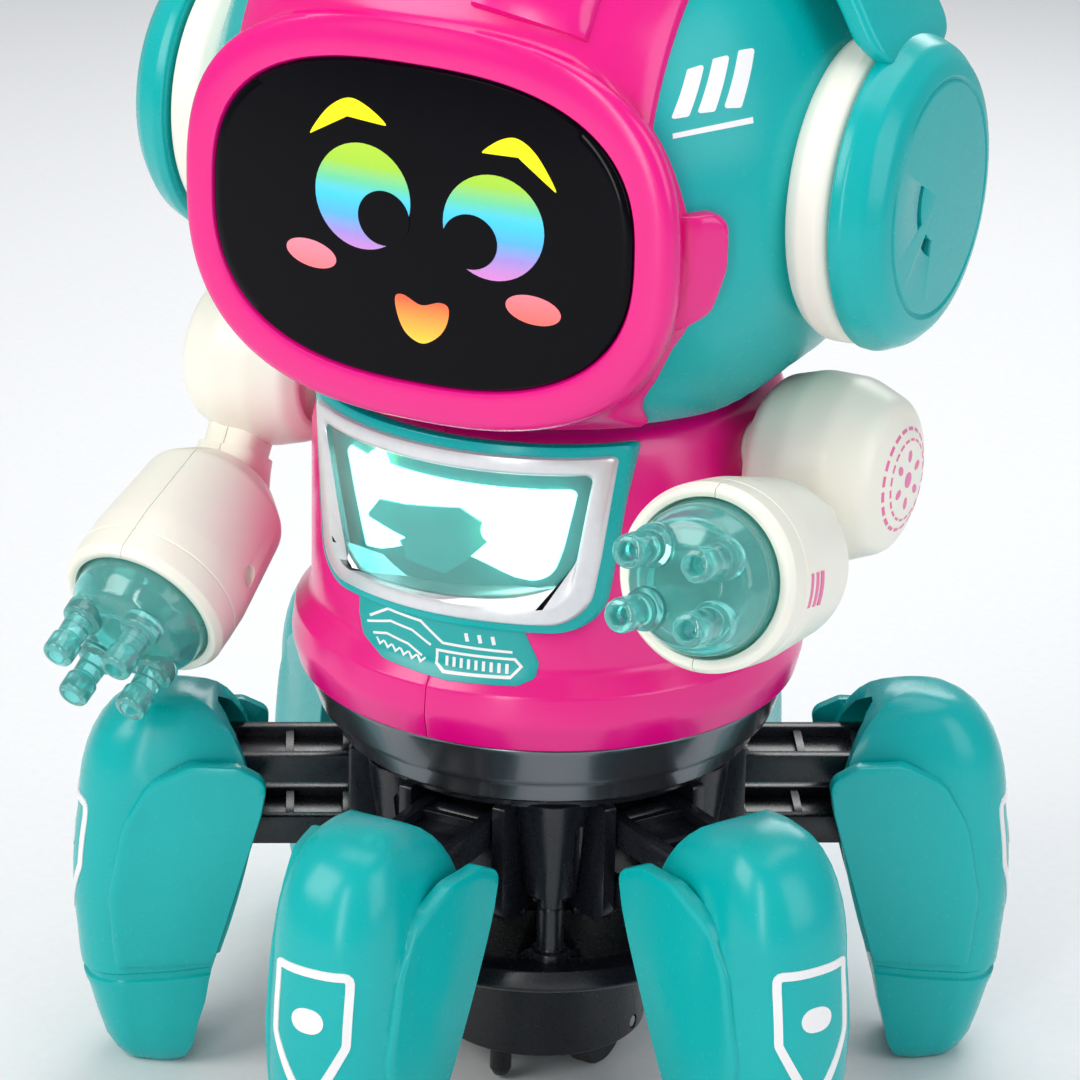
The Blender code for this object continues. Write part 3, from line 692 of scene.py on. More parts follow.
def makeFace():
    # printed eyes, brows, cheeks and mouth, each its own layer of ink on the screen
    eyeInk = ["#C77FC4", "#9A86CF", "#4FA9E6", "#3DC1EE", "#63C79A", "#9CCB3B", "#A9CF35"]
    eyes = printed("screenInkEyes", eyeInk, 159.5, 176.5, 0.12, 0.35)
    yellow = printed("screenInkYellow", ["#F2E800", "#FFF600"], 174, 184, 0.12, 0.35)
    coral = printed("screenInkCoral", ["#FB6A63", "#F4859B"], 153, 160, 0.12, 0.3)
    orange = printed("screenInkOrange", ["#FFC43A", "#F99A3C", "#EE5A3A"], 146.4, 153.6, 0.12, 0.35)
    black = printed("screenInkBlack", ["#020206", "#040408"], 150, 180, 0.1, 0.0, 0.12)
    marks = {
        "eyeRight": (ellipse(-8.4, 168.6, 8.6, 8.5, 8), eyes, 0.05),
        "eyeLeft": (ellipse(14.4, 167.1, 8.5, 8.4, 8), eyes, 0.05),
        "pupilRight": (ellipse(-4.5, 165.7, 4.6, 4.4), black, 0.11),
        "pupilLeft": (ellipse(10.5, 164.3, 4.7, 4.4), black, 0.11),
        "browRight": (crescent([(-18.1, 177.2), (-15.0, 181.6), (-11.2, 183.9), (-7.6, 183.0), (-4.3, 180.6),
            (-7.8, 180.9), (-11.4, 180.9), (-14.9, 179.5)]), yellow, 0.05),
        "browLeft": (crescent([(12.3, 178.8), (15.2, 181.1), (18.2, 181.7), (21.5, 179.4), (24.7, 174.2),
            (21.0, 177.1), (18.3, 178.9), (15.3, 179.3)]), yellow, 0.05),
        "cheekRight": (ellipse(-17.8, 157.7, 4.7, 2.2, 6), coral, 0.05),
        "cheekLeft": (ellipse(21.3, 154.9, 4.6, 2.3, 6), coral, 0.05),
        "mouth": (crescent([(-2.4, 153.3), (-0.9, 153.9), (2.2, 152.7), (5.4, 153.6), (7.0, 152.9),
            (6.6, 150.0), (4.9, 147.7), (2.3, 146.4), (-0.4, 147.6), (-1.9, 150.2)]), orange, 0.05),
    }
    for name, (outline, ink, lift) in marks.items():
        patch = film(outline, screenPoint, lift, 0.1, 10)
        piece(name + "Print", patch, ink, "head")


headphones = {"y": -1, "z": 167.5, "bandInner": 62.6, "bandOuter": 66.4, "halfDepth": 13.4}


def makeHeadphones():
    at = (0, headphones["y"], headphones["z"])
    soft = lathe([(17, 59.2, 0), (21.5, 59.3, 1), (24.2, 58.9, 1.2), (24.9, 57.2, 1.4), (24.9, 54.0, 2.2),
            (23.4, 51.6, 2), (20.5, 51.3, 1), (17, 53.4, 0)], "X", at, 128, True, 5)
    cover = lathe([(0, 67.6, 0), (18.3, 67.9, 0.3), (18.75, 67.35, 0.1), (19.3, 67.85, 0.3),
            (21.6, 67.3, 3.5),
            (24.0, 64.9, 3.5), (25.4, 61.6, 2.5), (25.3, 59.9, 0.6), (24.6, 59.5, 0.2), (18, 59.5, 0),
            (17, 57.4, 0), (0, 57.4, 0)], "X", at, 128, False, 6)
    slots, slotShadeFloors = [], []
    for first, last, radius, width in ((152, 200, 8.2, 1.8), (222, 250, 8.0, 2.6)):
        # a curved slot as wide as a fingernail, with a floor of painted shade
        points = []
        for k in range(9):
            a = math.radians(first + (last - first) * k / 8)
            points.append((headphones["y"] + radius * math.cos(a), headphones["z"] + radius * math.sin(a)))
        slots.append(ribbon(points, width, lambda u, v, h: Vector((67.6 + h, u, v)), False, 2.0, 1.2))
        slotShadeFloors.append(ribbon(points, width - 0.06, lambda u, v, h: Vector((66.5 + h, u, v)), False, 0.2,
                0.08))
    cover = softened(boolean("DIFFERENCE", cover, *slots), 0.2, 2, 50)
    slotShadeFloors = grouped(*slotShadeFloors)
    for side, sign in (("left", 1), ("right", -1)):
        flip = [mirrorX] if sign < 0 else [Matrix.Identity(4)]
        title = side.capitalize()
        piece("earPad" + title, moved(soft, *flip), padTpe, "head", [side + "_ear_cushion"])
        # the slot floors are painted shade: a dark sheet where the slot is only in shadow
        piece("earSlotShade" + title, moved(slotShadeFloors, *flip), slotShadeTeal, "head")
        piece("earCover" + title, moved(cover, *flip), tealAbs, "head", [side + "_ear_cover"])


def makeHeadband():
    # an arch that narrows into a foot on each ear cover
    rows = []
    y0, z0 = headphones["y"] + 1.3, headphones["z"]
    middle = (headphones["bandInner"] + headphones["bandOuter"]) / 2
    half = headphones["halfDepth"]
    last = 70
    for k in range(-last, last + 1):
        a = math.radians(k * 68 / 60)
        t = max(abs(k) - 56, 0) / (last - 56)
        angle = math.copysign(min(abs(a), math.radians(65)), a) if k else 0
        centre = Vector((middle * math.sin(angle), 0, middle * math.cos(angle)))
        out = Vector((math.sin(angle), 0, math.cos(angle)))
        if t > 0:
            # the foot drops straight down beside the pad
            side = math.copysign(1, k)
            centre = Vector((side * (58.5 + 2.7 * math.sin(t * math.pi / 2)), 0, 27.3 - 5.5 * t))
            out = out.lerp(Vector((side, 0, 0.0)), min(t * 1.6, 1)).normalized()
        front = -half + 0.9 * t + 3.2 * t ** 3
        back = half - 0.6 * t - 3.4 * t ** 3
        thick = 1.9 - 0.35 * t
        row = []
        for y, r in rounded([(front, -thick, 0.7), (back, -thick, 0.7), (back, thick, 1.5),
                (front, thick, 1.5)], True, 4):
            p = centre + out * r
            row.append((p.x, y0 + y, z0 + p.z))
        rows.append(row)
    band = solid(rows)
    piece("headband", softened(band, 0.8, 3, 50), tealAbs, "head", ["headband"])


def makeHeadBase():
    base = lathe([(12.4, 141.5, 0.3), (15.4, 141.5, 0.6), (15.6, 134.6, 0.8), (36.5, 134.4, 0.4),
            (36.5, 132.1, 0.6), (12.4, 132.1, 0.4)], closed=True)
    piece("headFloor", base, tealAbs, "head", ["head_base"])
    # plain bars where the helmet has its printed mark
    marks = []
    def onSide(u, v, lift):
        return onBall(helmet["radius"] + lift, 56 + u, 66 + v)
    for outline in ([(-9, 2.5), (-3.5, -5.5), (-0.5, -5.0), (-6, 3.2)],
            [(-4.6, 3.2), (1.2, -5.2), (4.2, -4.6), (-1.6, 4)], [(0, 4), (6, -4.6), (9, -3.8), (3.0, 5)]):
        marks.append(film(finely(rounded([(u, v, 0.5) for u, v in outline]), 0.8), onSide, 0.08, 0.1, 6))
    marks.append(ribbon([(-9.4 + 0.93 * k, 6.0 + 0.12 * k) for k in range(16)], 1.1, onSide, False, 0.08,
            0.1))
    piece("helmetBars", grouped(*marks), whiteInk, "head")


makeHelmet()
makeHood()
makeCrown()
makeScreen()
makeFace()
makeHeadphones()
makeHeadband()
makeHeadBase()
print("head made")


# ---- torso

# (radius, height, fillet) down the outside of the torso
torsoOutside = [(12.0, 142.0, 0.4), (12.0, 131.0, 0.8), (32.5, 130.8, 3), (38.2, 127.3, 6), (40.3, 118.0, 12),
    (40.3, 88.6, 3), (43.1, 85.3, 1.2), (43.7, 80.5, 6), (42.5, 75.7, 0.6)]
torsoInside = [(40.7, 75.7, 0.3), (41.0, 83.4, 0), (38.1, 87.0, 0), (38.1, 118.0, 0), (36.0, 126.4, 0),
    (32.6, 128.6, 0), (9.8, 128.6, 0), (9.8, 142.0, 0.4)]
window = {"top": 127.6, "bottom": 96.2, "halfTop": 28.9, "halfLow": 27.0, "rim": 1.3, "frame": 3.2}
arm = {"shoulder": (-3.0, 120.5), "centreX": 54.5, "elbow": 32, "reach": 24, "aim": 64, "length": 30.5,
    "lift": 39}


def torsoRadius(z):
    # the torso's outer radius at a height below its shoulder
    corners = rounded(torsoOutside, False, 4)
    for (r0, z0), (r1, z1) in zip(corners, corners[1:]):
        if z1 <= z <= z0 and z0 > z1:
            return r0 + (r1 - r0) * (z0 - z) / (z0 - z1)
    return torsoOutside[-1][0]


def onTorso(x, z, lift=0.0):
    radius = torsoRadius(z) + lift
    return Vector((x, -math.sqrt(max(radius ** 2 - x * x, 0)), z))


def windowOutline(inset, steps=7):
    i = inset
    return rounded([(-window["halfTop"] + i, window["top"] - i, 1.0),
            (window["halfTop"] - i, window["top"] - i, 1.0),
            (window["halfLow"] - i, 109, 30), (window["halfLow"] - 1.6 - i, window["bottom"] + i,
            12.5 - i * 0.8), (-window["halfLow"] + 1.6 + i, window["bottom"] + i, 12.5 - i * 0.8),
            (-window["halfLow"] + i, 109, 30)], True, steps)


def windowLoop(inset, radius):
    # both loops of a frame are split alike, by the outermost one
    outer, here = windowOutline(0), windowOutline(inset)
    loop = []
    for i in range(len(outer)):
        k = (i + 1) % len(outer)
        count = max(int((Vector(outer[k]) - Vector(outer[i])).length / 2.0), 1)
        for s in range(count):
            x, z = Vector(here[i]).lerp(Vector(here[k]), s / count)
            loop.append((x, -math.sqrt(radius ** 2 - x * x), z))
    return loop


def straight(u, v, y):
    return Vector((u, y, v))


def makeTorso():
    shell = lathe(torsoOutside + torsoInside, closed=True, steps=180, fillet=5)
    opening = plate(windowOutline(0.5), -60, -20, straight)
    door = plate(rounded([(-24, 119, 3), (24, 119, 3), (24, 89, 3), (-24, 89, 3)]), 20, 60, straight)
    y, z = arm["shoulder"]
    bores = rod(5.4, -60, 60, "X", (0, y, z), 48)
    slot = block((-5, 30, 122), (5, 60, 126))
    bosses = [rod(2.4, -60, -34, "X", (0, by, bz)) for by, bz in ((8, 92), (14, 121))]
    shell = boolean("DIFFERENCE", shell, opening, door, bores, slot, *bosses)
    for side, low, high in (("left", 0.09, 60), ("right", -60, -0.09)):
        half = boolean("INTERSECT", shell, block((low, -60, 60), (high, 60, 160)))
        piece("torso" + side.capitalize(), softened(half, 0.28, 2, 40), pinkAbs, "chassis",
            ["torso_shell_" + side])


def makeDoor():
    def wall(u, v, radius):
        return Vector((u, math.sqrt(radius ** 2 - u * u), v))
    outline = finely(rounded([(-23.7, 118.7, 3), (23.7, 118.7, 3), (23.7, 89.3, 3), (-23.7, 89.3, 3)]), 1.5)
    rows = [[wall(u, v, r) for u, v in shrunk(outline, (0, 104), s)]
        for s, r in ((1, 38.4), (1, 39.9), (0.988, 40.25), (0.9, 40.3), (0.7, 40.3), (0.45, 40.3),
            (0.2, 40.3), (0.001, 40.3))]
    door = skin(rows, capFirst=True)
    well = rod(2.6, 60, 38.9, "-Y", (0, 0, 114.5), 40)
    well.transform(Matrix.Diagonal((1, -1, 1, 1)))
    well.flip_normals()
    grips = [block((-7, 36, z - 0.45), (7, 42, z + 0.45)) for z in (93.5, 95.5, 97.5)]
    for grip in grips:
        for vertex in grip.vertices:
            if vertex.co.y < 0.039:
                vertex.co.y = 0.0396
    door = boolean("DIFFERENCE", door, well, *grips)
    piece("batteryDoor", softened(door, 0.15, 1, 45), pinkAbs, "chassis", ["battery_door"])
    screwHead("doorScrew", (0, 39.0, 114.5), (0, 1, 0), 2.2, "chassis")


def screwHead(name, at, facing, radius, body):
    # a domed head with a cross recess
    dome = lathe([(0, 0.9, 0), (radius * 0.6, 0.75, 0.5), (radius, 0.1, 0.3), (radius, -0.6, 0),
            (0, -0.6, 0)], steps=32)
    arms = [block((-radius * 0.62, -0.22, 0.1), (radius * 0.62, 0.22, 2)),
        block((-0.22, -radius * 0.62, 0.1), (0.22, radius * 0.62, 2))]
    dome = boolean("DIFFERENCE", dome, *arms)
    aim = Vector(facing).to_track_quat("Z", "Y").to_matrix().to_4x4()
    dome.transform(shift(*at) @ aim)
    return piece(name, dome, steel, body)


def makeSwitch():
    knob = block((-4.6, 34.5, 122.5), (-0.4, 40.9, 125.5), 0.3)
    ridges = [block((-4.2 + 0.9 * k, 40.4, 122.8), (-3.85 + 0.9 * k, 41.3, 125.2), 0.1) for k in range(5)]
    piece("powerSwitch", grouped(knob, *ridges), blackAbs, "switch", ["power_switch"])


def makeChest():
    rim, frame = window["rim"], window["rim"] + window["frame"]
    gasket = skin([windowLoop(i, r) for i, r in ((0, 38.4), (-0.35, 40.4), (-0.2, 40.95), (0.1, 41.1),
            (rim + 0.3, 41.1), (rim + 0.3, 38.4), (0, 38.4))])
    piece("chestGasket", gasket, tealAbs, "chassis")
    trim = skin([windowLoop(i, r) for i, r in ((rim, 39.6), (rim, 41.5), (rim + 0.25, 41.85),
            (rim + 0.6, 41.95), (frame - 0.9, 41.95), (frame - 0.45, 41.8), (frame - 0.1, 41.4), (frame,
            40.2), (frame, 39.6), (rim, 39.6))])
    piece("chestTrim", trim, silverPaint, "chassis", ["chest_trim"])

    def filled(inset, radius, thick, edge):
        # a curved sheet: out from the middle of its back, round its edge and in over its front
        shares = (0.002, 0.25, 0.5, 0.75, 0.95, 1)
        rows = []
        for depth, share in [(radius - thick, s) for s in shares] + [(radius - edge, 1),
                (radius - edge * 0.3, 0.99)] \
                + [(radius, s) for s in (0.97, 0.85, 0.6, 0.3, 0.002)]:
            row = []
            for x, _, z in windowLoop(inset, radius):
                px, pz = x * share, 112 + (z - 112) * share
                row.append((px, -math.sqrt(depth ** 2 - px * px), pz))
            rows.append(row)
        return solid(rows)
    piece("chestLens", filled(frame - 0.5, 41.0, 0.5, 0.2), lensPc, "chassis", ["chest_lens"])
    # teal tray behind the lens, with the lit diffuser standing on it
    piece("lightTray", filled(rim + 0.6, 38.0, 1.4, 0.3), tealAbs, "chassis")
    piece("lightDiffuser", filled(frame + 3.4, 38.8, 0.9, 0.6), lightPanel, "chassis")

    def inWindow(u, v, lift):
        return Vector((u, -math.sqrt((38.8 + lift) ** 2 - u * u), v))
    wedge = rounded([(-14.9, 109.8, 0.5), (-12.1, 113.4, 0.5), (-5.9, 114.2, 0.5), (3.5, 115.6, 0.5),
            (10, 112.2, 0.5), (4.2, 106.2, 0.5), (1.1, 103.8, 0.5), (-6.4, 104.8, 0.5), (-6.3, 108.4, 0.5)])
    piece("lightMask", film(finely(wedge), inWindow, 0.35, 0.2, 6), litTeal, "chassis")
    for side, x, z in (("Right", -12.5, 119.2), ("Left", 9.5, 112.5)):
        lamp = lathe([(0, 2.2, 0), (1.3, 1.9, 0.7), (1.9, 0.6, 0.5), (2.4, 0.4, 0.1), (2.4, -0.4, 0),
                (0, -0.4, 0)], steps=32)
        foot = inWindow(x, z, 0)
        aim = Vector((foot.x, foot.y, 0)).to_track_quat("Z", "Y").to_matrix().to_4x4()
        lamp.transform(shift(*foot) @ aim)
        piece("chestLamp" + side, lamp, lampGlow, "chassis")


def makeLabel():
    outline = finely(rounded([(-15.7, 97.2, 0.4), (15.0, 97.2, 0.4), (15.1, 95.4, 1), (17.1, 90.6, 1.2),
            (16.8, 88.0, 0.8), (14.6, 86.9, 1), (3.1, 86.5, 4), (-9.6, 87.2, 6), (-14.9, 89.2, 2), (-15.9,
            93, 3)]), 1.2)
    rows = [[onTorso(u, v, -0.2) for u, v in outline]]
    for share in (1, 0.985, 0.9, 0.75, 0.6, 0.45, 0.3, 0.15, 0.002):
        lift = 0.12 if share == 1 else 0.22
        rows.append([onTorso(u, v, lift) for u, v in shrunk(outline, (0, 91.6), share)])
    piece("labelPlate", skin(rows, capFirst=True), tealFilm, "chassis")

    def onLabel(u, v, lift):
        return onTorso(u, v, 0.24 + lift)
    marks = []
    for path, width, closed in (
            ([(-13.2, 93.2), (-9.2, 95.6), (-2.6, 95.2), (1.6, 92.2), (13.2, 92.2)], 0.45, False),
            ([(-13.8, 92.0), (-8.6, 93.6), (-4.2, 93.2), (-0.6, 91.4)], 0.4, False),
            ([(-12.4, 90.4), (-9.4, 91.2), (-5.0, 90.6), (-2.2, 89.2)], 0.4, False),
            ([(0.6, 90.8), (13.6, 91.0), (14.6, 89.8), (13.2, 88.0), (2.2, 87.6), (0.6, 88.6)], 0.45, True)):
        fine = finely(path, 1.0) if closed else [p for a, b in zip(path, path[1:])
            for p in [tuple(Vector(a).lerp(Vector(b), k / 4)) for k in range(4)]] + [path[-1]]
        marks.append(ribbon(fine, width, onLabel, closed, 0.05, 0.1))
    for k in range(3):
        marks.append(ribbon([(5.6 + 2.2 * k, 94.6), (5.9 + 2.2 * k, 93.2)], 0.6, onLabel, False, 0.05, 0.1))
    for k in range(9):
        x = 2.4 + 1.25 * k
        marks.append(ribbon([(x, 90.1), (x + 0.1, 88.5)], 0.5, onLabel, False, 0.05, 0.1))
    for k in range(6):
        x = -11.6 + 1.7 * k
        marks.append(ribbon([(x, 89.9 - 0.15 * k), (x + 0.8, 89.0 - 0.15 * k),
                (x + 1.6, 89.75 - 0.15 * k)], 0.35, onLabel, False, 0.05, 0.1))
    piece("labelLines", grouped(*marks), whiteInk, "chassis")


makeTorso()
makeDoor()
makeSwitch()
makeChest()
makeLabel()
print("torso made")


# ---- arms

def armPlace(side, lift):
    # from the arm's own axes to its place on the shoulder
    x = arm["centreX"] if side == "left" else -arm["centreX"]
    turn = turnAbout("X", -lift)
    return shift(0, *arm["shoulder"]) @ turn @ shift(x, 0, 0)


def aimedAt(angle, start=(0, 0)):
    return shift(0, *start) @ turnAbout("X", 180 - angle)


def elbowPoint():
    a = math.radians(arm["elbow"])
    return (-math.sin(a) * arm["reach"], -math.cos(a) * arm["reach"])


drumEnd = [(0, 65.8, 0), (6.5, 65.6, 3), (12.4, 63.4, 4.5), (15.2, 56.5, 7)]


def makeDrum():
    # egg-shaped shoulder; its stub turns in the torso
    return lathe(drumEnd + [(15.2, 49.5, 8), (13.4, 43.4, 4),
            (11.2, 41.5, 1.5), (10.2, 41.4, 0.2), (9.6, 42.2, 0.2), (5.1, 42.2, 0.1), (5.1, 35.7, 0.4), (0,
            35.7, 0)], "X", steps=128, fillet=6)


def makeBarrel():
    length = arm["length"]
    barrel = lathe([(0, 2.4, 0), (9.5, 2.6, 0.5), (11.8, 6, 1), (12.5, 20, 1), (12.5, length - 0.2, 0.2),
            (13.2, length, 0.3), (13.9, length, 0.5),
            (14.75, length - 1.4, 0.8), (14.8, length - 5.2, 0.15), (14.5, length - 5.45,
            0.1), (14.8, length - 5.7, 0.15),
            (14.75, 20.5, 6), (13.1, 4.3, 3), (9.4, 0, 1.0), (0, 0, 0)], steps=128, fillet=5)
    well = rod(1.9, 0, 9, "X", (13.0, 0, length - 12.5))
    barrel = boolean("DIFFERENCE", barrel, well)
    barrel.transform(aimedAt(arm["aim"], elbowPoint()))
    outline = [superPoint(a, 5.1, 4.9, 3.6) for a in turns(40)]
    neck = solid([[(x, y, z) for x, y in outline] for z in (14, arm["reach"] + 3.4)])
    collar = solid([[(x * w, y * w, z) for x, y in outline]
            for z, w in ((17.4, 1.0), (17.5, 1.14), (19.4, 1.18), (22.8, 1.3))])
    stem = boolean("UNION", neck, collar)
    stem.transform(aimedAt(arm["elbow"]))
    return boolean("UNION", barrel, stem)


def makeHand():
    mouth = arm["length"]
    cup = lathe([(0, mouth + 7.4, 0), (6.2, mouth + 7.2, 1.5), (9.9, mouth + 5.6, 2.0),
            (11.6, mouth + 2.4, 3), (12.15, mouth - 1, 2),
            (12.15, mouth - 5, 0.4), (10.3, mouth - 5, 0.4), (10.2, mouth, 2), (8.4, mouth + 4.2,
            2), (5.4, mouth + 5.4, 1), (0, mouth + 5.5, 0)], steps=96, fillet=4)
    pegs = []
    for x in (-5.6, 5.6):
        for y in (-4.9, 4.9):
            peg = lathe([(0, mouth + 5.9, 0), (3.5, mouth + 5.9, 0.2), (3.4, mouth + 8.4, 0.5),
                    (2.5, mouth + 8.9, 0.4), (2.3, mouth + 12.6, 0.2),
                    (2.75, mouth + 13.2, 0.3), (2.7, mouth + 16.6, 0.7), (1.5, mouth + 17.0,
                    0.2), (1.35, mouth + 12.0, 0.3), (0, mouth + 11.6, 0)],
                centre=(x, y, 0), steps=40, fillet=3)
            pegs.append(peg)
    hand = boolean("UNION", cup, *pegs)
    hand.transform(aimedAt(arm["aim"], elbowPoint()))
    return hand


def makeArms():
    drum, barrel, hand = makeDrum(), makeBarrel(), makeHand()
    halves = {}
    for name, low, high in (("plus", 0.08, 30), ("minus", -30, -0.08)):
        box = block((low, -90, -90), (high, 40, 40))
        halves[name] = softened(boolean("INTERSECT", barrel, box), 0.22, 2, 42)
    for side, sign in (("left", 1), ("right", -1)):
        lift = arm["lift"] if side == "left" else 0
        body, title = side + "_arm", side.capitalize()
        place = armPlace(side, lift)
        # the bored half faces the torso, so the pair swaps over on the left
        steps = (mirrorX, place) if sign > 0 else (place,)
        inner, outer = moved(halves["plus"], *steps), moved(halves["minus"], *steps)
        piece("forearmInner" + title, inner, ivoryAbs, body, [side + "_forearm_inner"])
        piece("forearmOuter" + title, outer, ivoryAbs, body, [side + "_forearm_outer"])
        piece("hand" + title, moved(hand, place), handPc, body, [side + "_hand"])
        turned = moved(drum, turnAbout("Z", 180 if sign < 0 else 0))
        turned.transform(shift(0, *arm["shoulder"]) @ turnAbout("X", -lift))
        piece("shoulder" + title, turned, ivoryAbs, body, [side + "_shoulder_drum"])
        armMarks(title, sign, lift, body)


def armMarks(title, sign, lift, body):
    # rings on the shoulder's end and three bars on the forearm
    profile = rounded(drumEnd, False, 6)

    def onDrum(u, v, rise):
        radius = math.hypot(u, v)
        for (r0, x0), (r1, x1) in zip(profile, profile[1:]):
            if r0 <= radius <= r1:
                x = x0 + (x1 - x0) * (radius - r0) / max(r1 - r0, 0.001)
                return Vector((sign * (x + rise), u, v))
        return Vector((sign * (65.8 + rise), u, v))
    marks = []
    dashes = 40
    for radius, width in ((8.3, 0.55), (6.6, 0.4)):
        for k in range(0, dashes, 2):
            angles = [2 * math.pi * (k + s / 3) / dashes for s in range(5)]
            arc = [(radius * math.cos(a), radius * math.sin(a)) for a in angles]
            marks.append(ribbon(arc, width, onDrum, False, 0.06, 0.1))
    for k in range(6):
        a = math.radians(60 * k)
        marks.append(film(ellipse(3.9 * math.cos(a), 3.9 * math.sin(a), 1.0, 0.7, -60 * k, 16), onDrum,
                0.06, 0.1, 3))
    marks.append(film(ellipse(0, 0, 1.3, 1.3, 0, 20), onDrum, 0.06, 0.1, 3))
    rings = grouped(*marks)
    rings.transform(shift(0, *arm["shoulder"]) @ turnAbout("X", -lift))
    piece("shoulderRings" + title, rings, pinkInk, body)

    def onBarrel(u, v, rise):
        # u runs round the barrel in millimetres, v along it
        a = u / 14.78
        return Vector((sign * (14.78 + rise) * math.cos(a), (14.78 + rise) * math.sin(a), v))
    bars = [ribbon([(-2.6 + 0.9 * k, v) for k in range(7)], 1.0, onBarrel, False, 0.06, 0.12)
        for v in (19.0, 21.0, 23.0)]
    bars = grouped(*bars)
    bars.transform(armPlace("left" if sign > 0 else "right", lift) @ aimedAt(arm["aim"], elbowPoint()))
    piece("forearmBars" + title, bars, pinkInk, body)


makeArms()
print("arms made")


# ---- ring, hub and drive

hub = {"radius": 24, "top": 63, "floor": 36, "bossAt": 27.4, "bossTop": 6.9, "bossFoot": 4.5}
leg = {"hubPivot": 30, "pivot": 58, "upperZ": 56.5, "lowerZ": 45, "lug": (7.7, 9.9), "bore": 2.0,
    "boreHalf": 9.6,
    "domeTop": 69.2, "domeMiddle": 63.0}


def pinBore(out, z, extra=0):
    # the hole of a pin, this far out from the middle of the robot
    return rod(leg["bore"] + extra, -leg["boreHalf"], leg["boreHalf"], "X", (0, -out, z), 24)


def makeRing():
    ring = lathe([(39.9, 75.4, 0.2), (41.5, 75.4, 0.4), (41.1, 74.2, 0.5), (39.3, 69.0, 0.6),
            (39.0, 68.3, 0.3), (37.2, 67.6, 0.5),
            (36.9, 66.9, 0.3), (36.1, 64.0, 0.5), (35.2, 63.3, 0.4), (30.2, 63.3, 0.3), (30.2, 65.5,
            0.2), (33.6, 65.6, 0.3), (38.3, 74.2, 0.5)], closed=True, steps=180, fillet=4)
    piece("torsoRing", ring, ringAbs, "chassis", ["base_ring"])


def makeHub():
    wall = hub["radius"] - 2
    cup = lathe([(33, hub["top"], 0.4), (33, 61.2, 0.4), (25.2, 59.2, 2), (hub["radius"], 56, 2),
            (hub["radius"] - 0.4, 39, 1.5),
            (20.6, hub["floor"], 1.2), (1.5, hub["floor"], 0.2), (1.5, 38, 0), (wall, 38, 0.5), (wall,
            hub["top"], 0.3)], closed=True, steps=120)
    extras = []
    for k in range(6):
        turn = turnAbout("Z", 60 * k)
        for sign in (-1, 1):
            outline = rounded([(-22.8, 40, 0.2), (-33.9, 40, 3.4), (-33.9, 61.6, 0.6), (-22.8, 61.6, 0.2)])
            lug = slab(outline, [sign * x for x in leg["lug"]])
            extras.append(moved(softened(lug, 0.25, 2), turn))
        boss = lathe([(0, 61.8, 0), (hub["bossTop"], 61.8, 0.3), (hub["bossTop"] - 0.3, 58.8, 1),
                (hub["bossFoot"], 43.6, 0.8), (2.6, 42.4, 0.8),
                (2.2, 44.4, 0.3), (0, 44.4, 0)], centre=(0, -hub["bossAt"], 0), steps=48)
        # the screw post runs up the face of the boss and ends round
        face = lathe([(0, 42.1, 0), (2.35, 42.1, 0.1), (2.35, 51.6, 1.6), (0, 53.2, 0)],
            centre=(0, -hub["bossAt"] - 2.4, 0), steps=40)
        groove = lathe([(0, 44.6, 0), (1.0, 46.4, 0.8), (1.2, 52, 2), (1.0, 57.0, 0.8), (0, 58.6, 0)],
            steps=24)
        groove.transform(shift(4.6, -hub["bossAt"] - 4.2, 0) @ turnAbout("X", 7, (0, 0, 51)))
        boss = boolean("UNION", boolean("DIFFERENCE", boss, groove), face)
        extras.append(moved(boss, turn @ turnAbout("Z", 30)))
        rib = block((-0.8, -25.6, 37.4), (0.8, -20, 58.5), 0.25)
        for angle in (19, 41):
            extras.append(moved(rib, turn @ turnAbout("Z", angle)))
    shape = boolean("UNION", cup, grouped(*extras), crossing=True)
    tools = []
    for k in range(6):
        turn = turnAbout("Z", 60 * k)
        opening = block((-3.6, -27, 50), (3.6, -18, 57.6))
        tools.append(moved(opening, turn))
        for z in (leg["upperZ"], leg["lowerZ"]):
            tools.append(moved(pinBore(leg["hubPivot"], z), turn))
    piece("hubHousing", boolean("DIFFERENCE", shape, grouped(*tools), crossing=True), blackAbs, "chassis",
        ["hub_housing"], 30)


foot = {"radius": 36, "top": 32, "under": 28, "skirt": 18.5, "postAt": 28.6, "postRadius": 2.35}


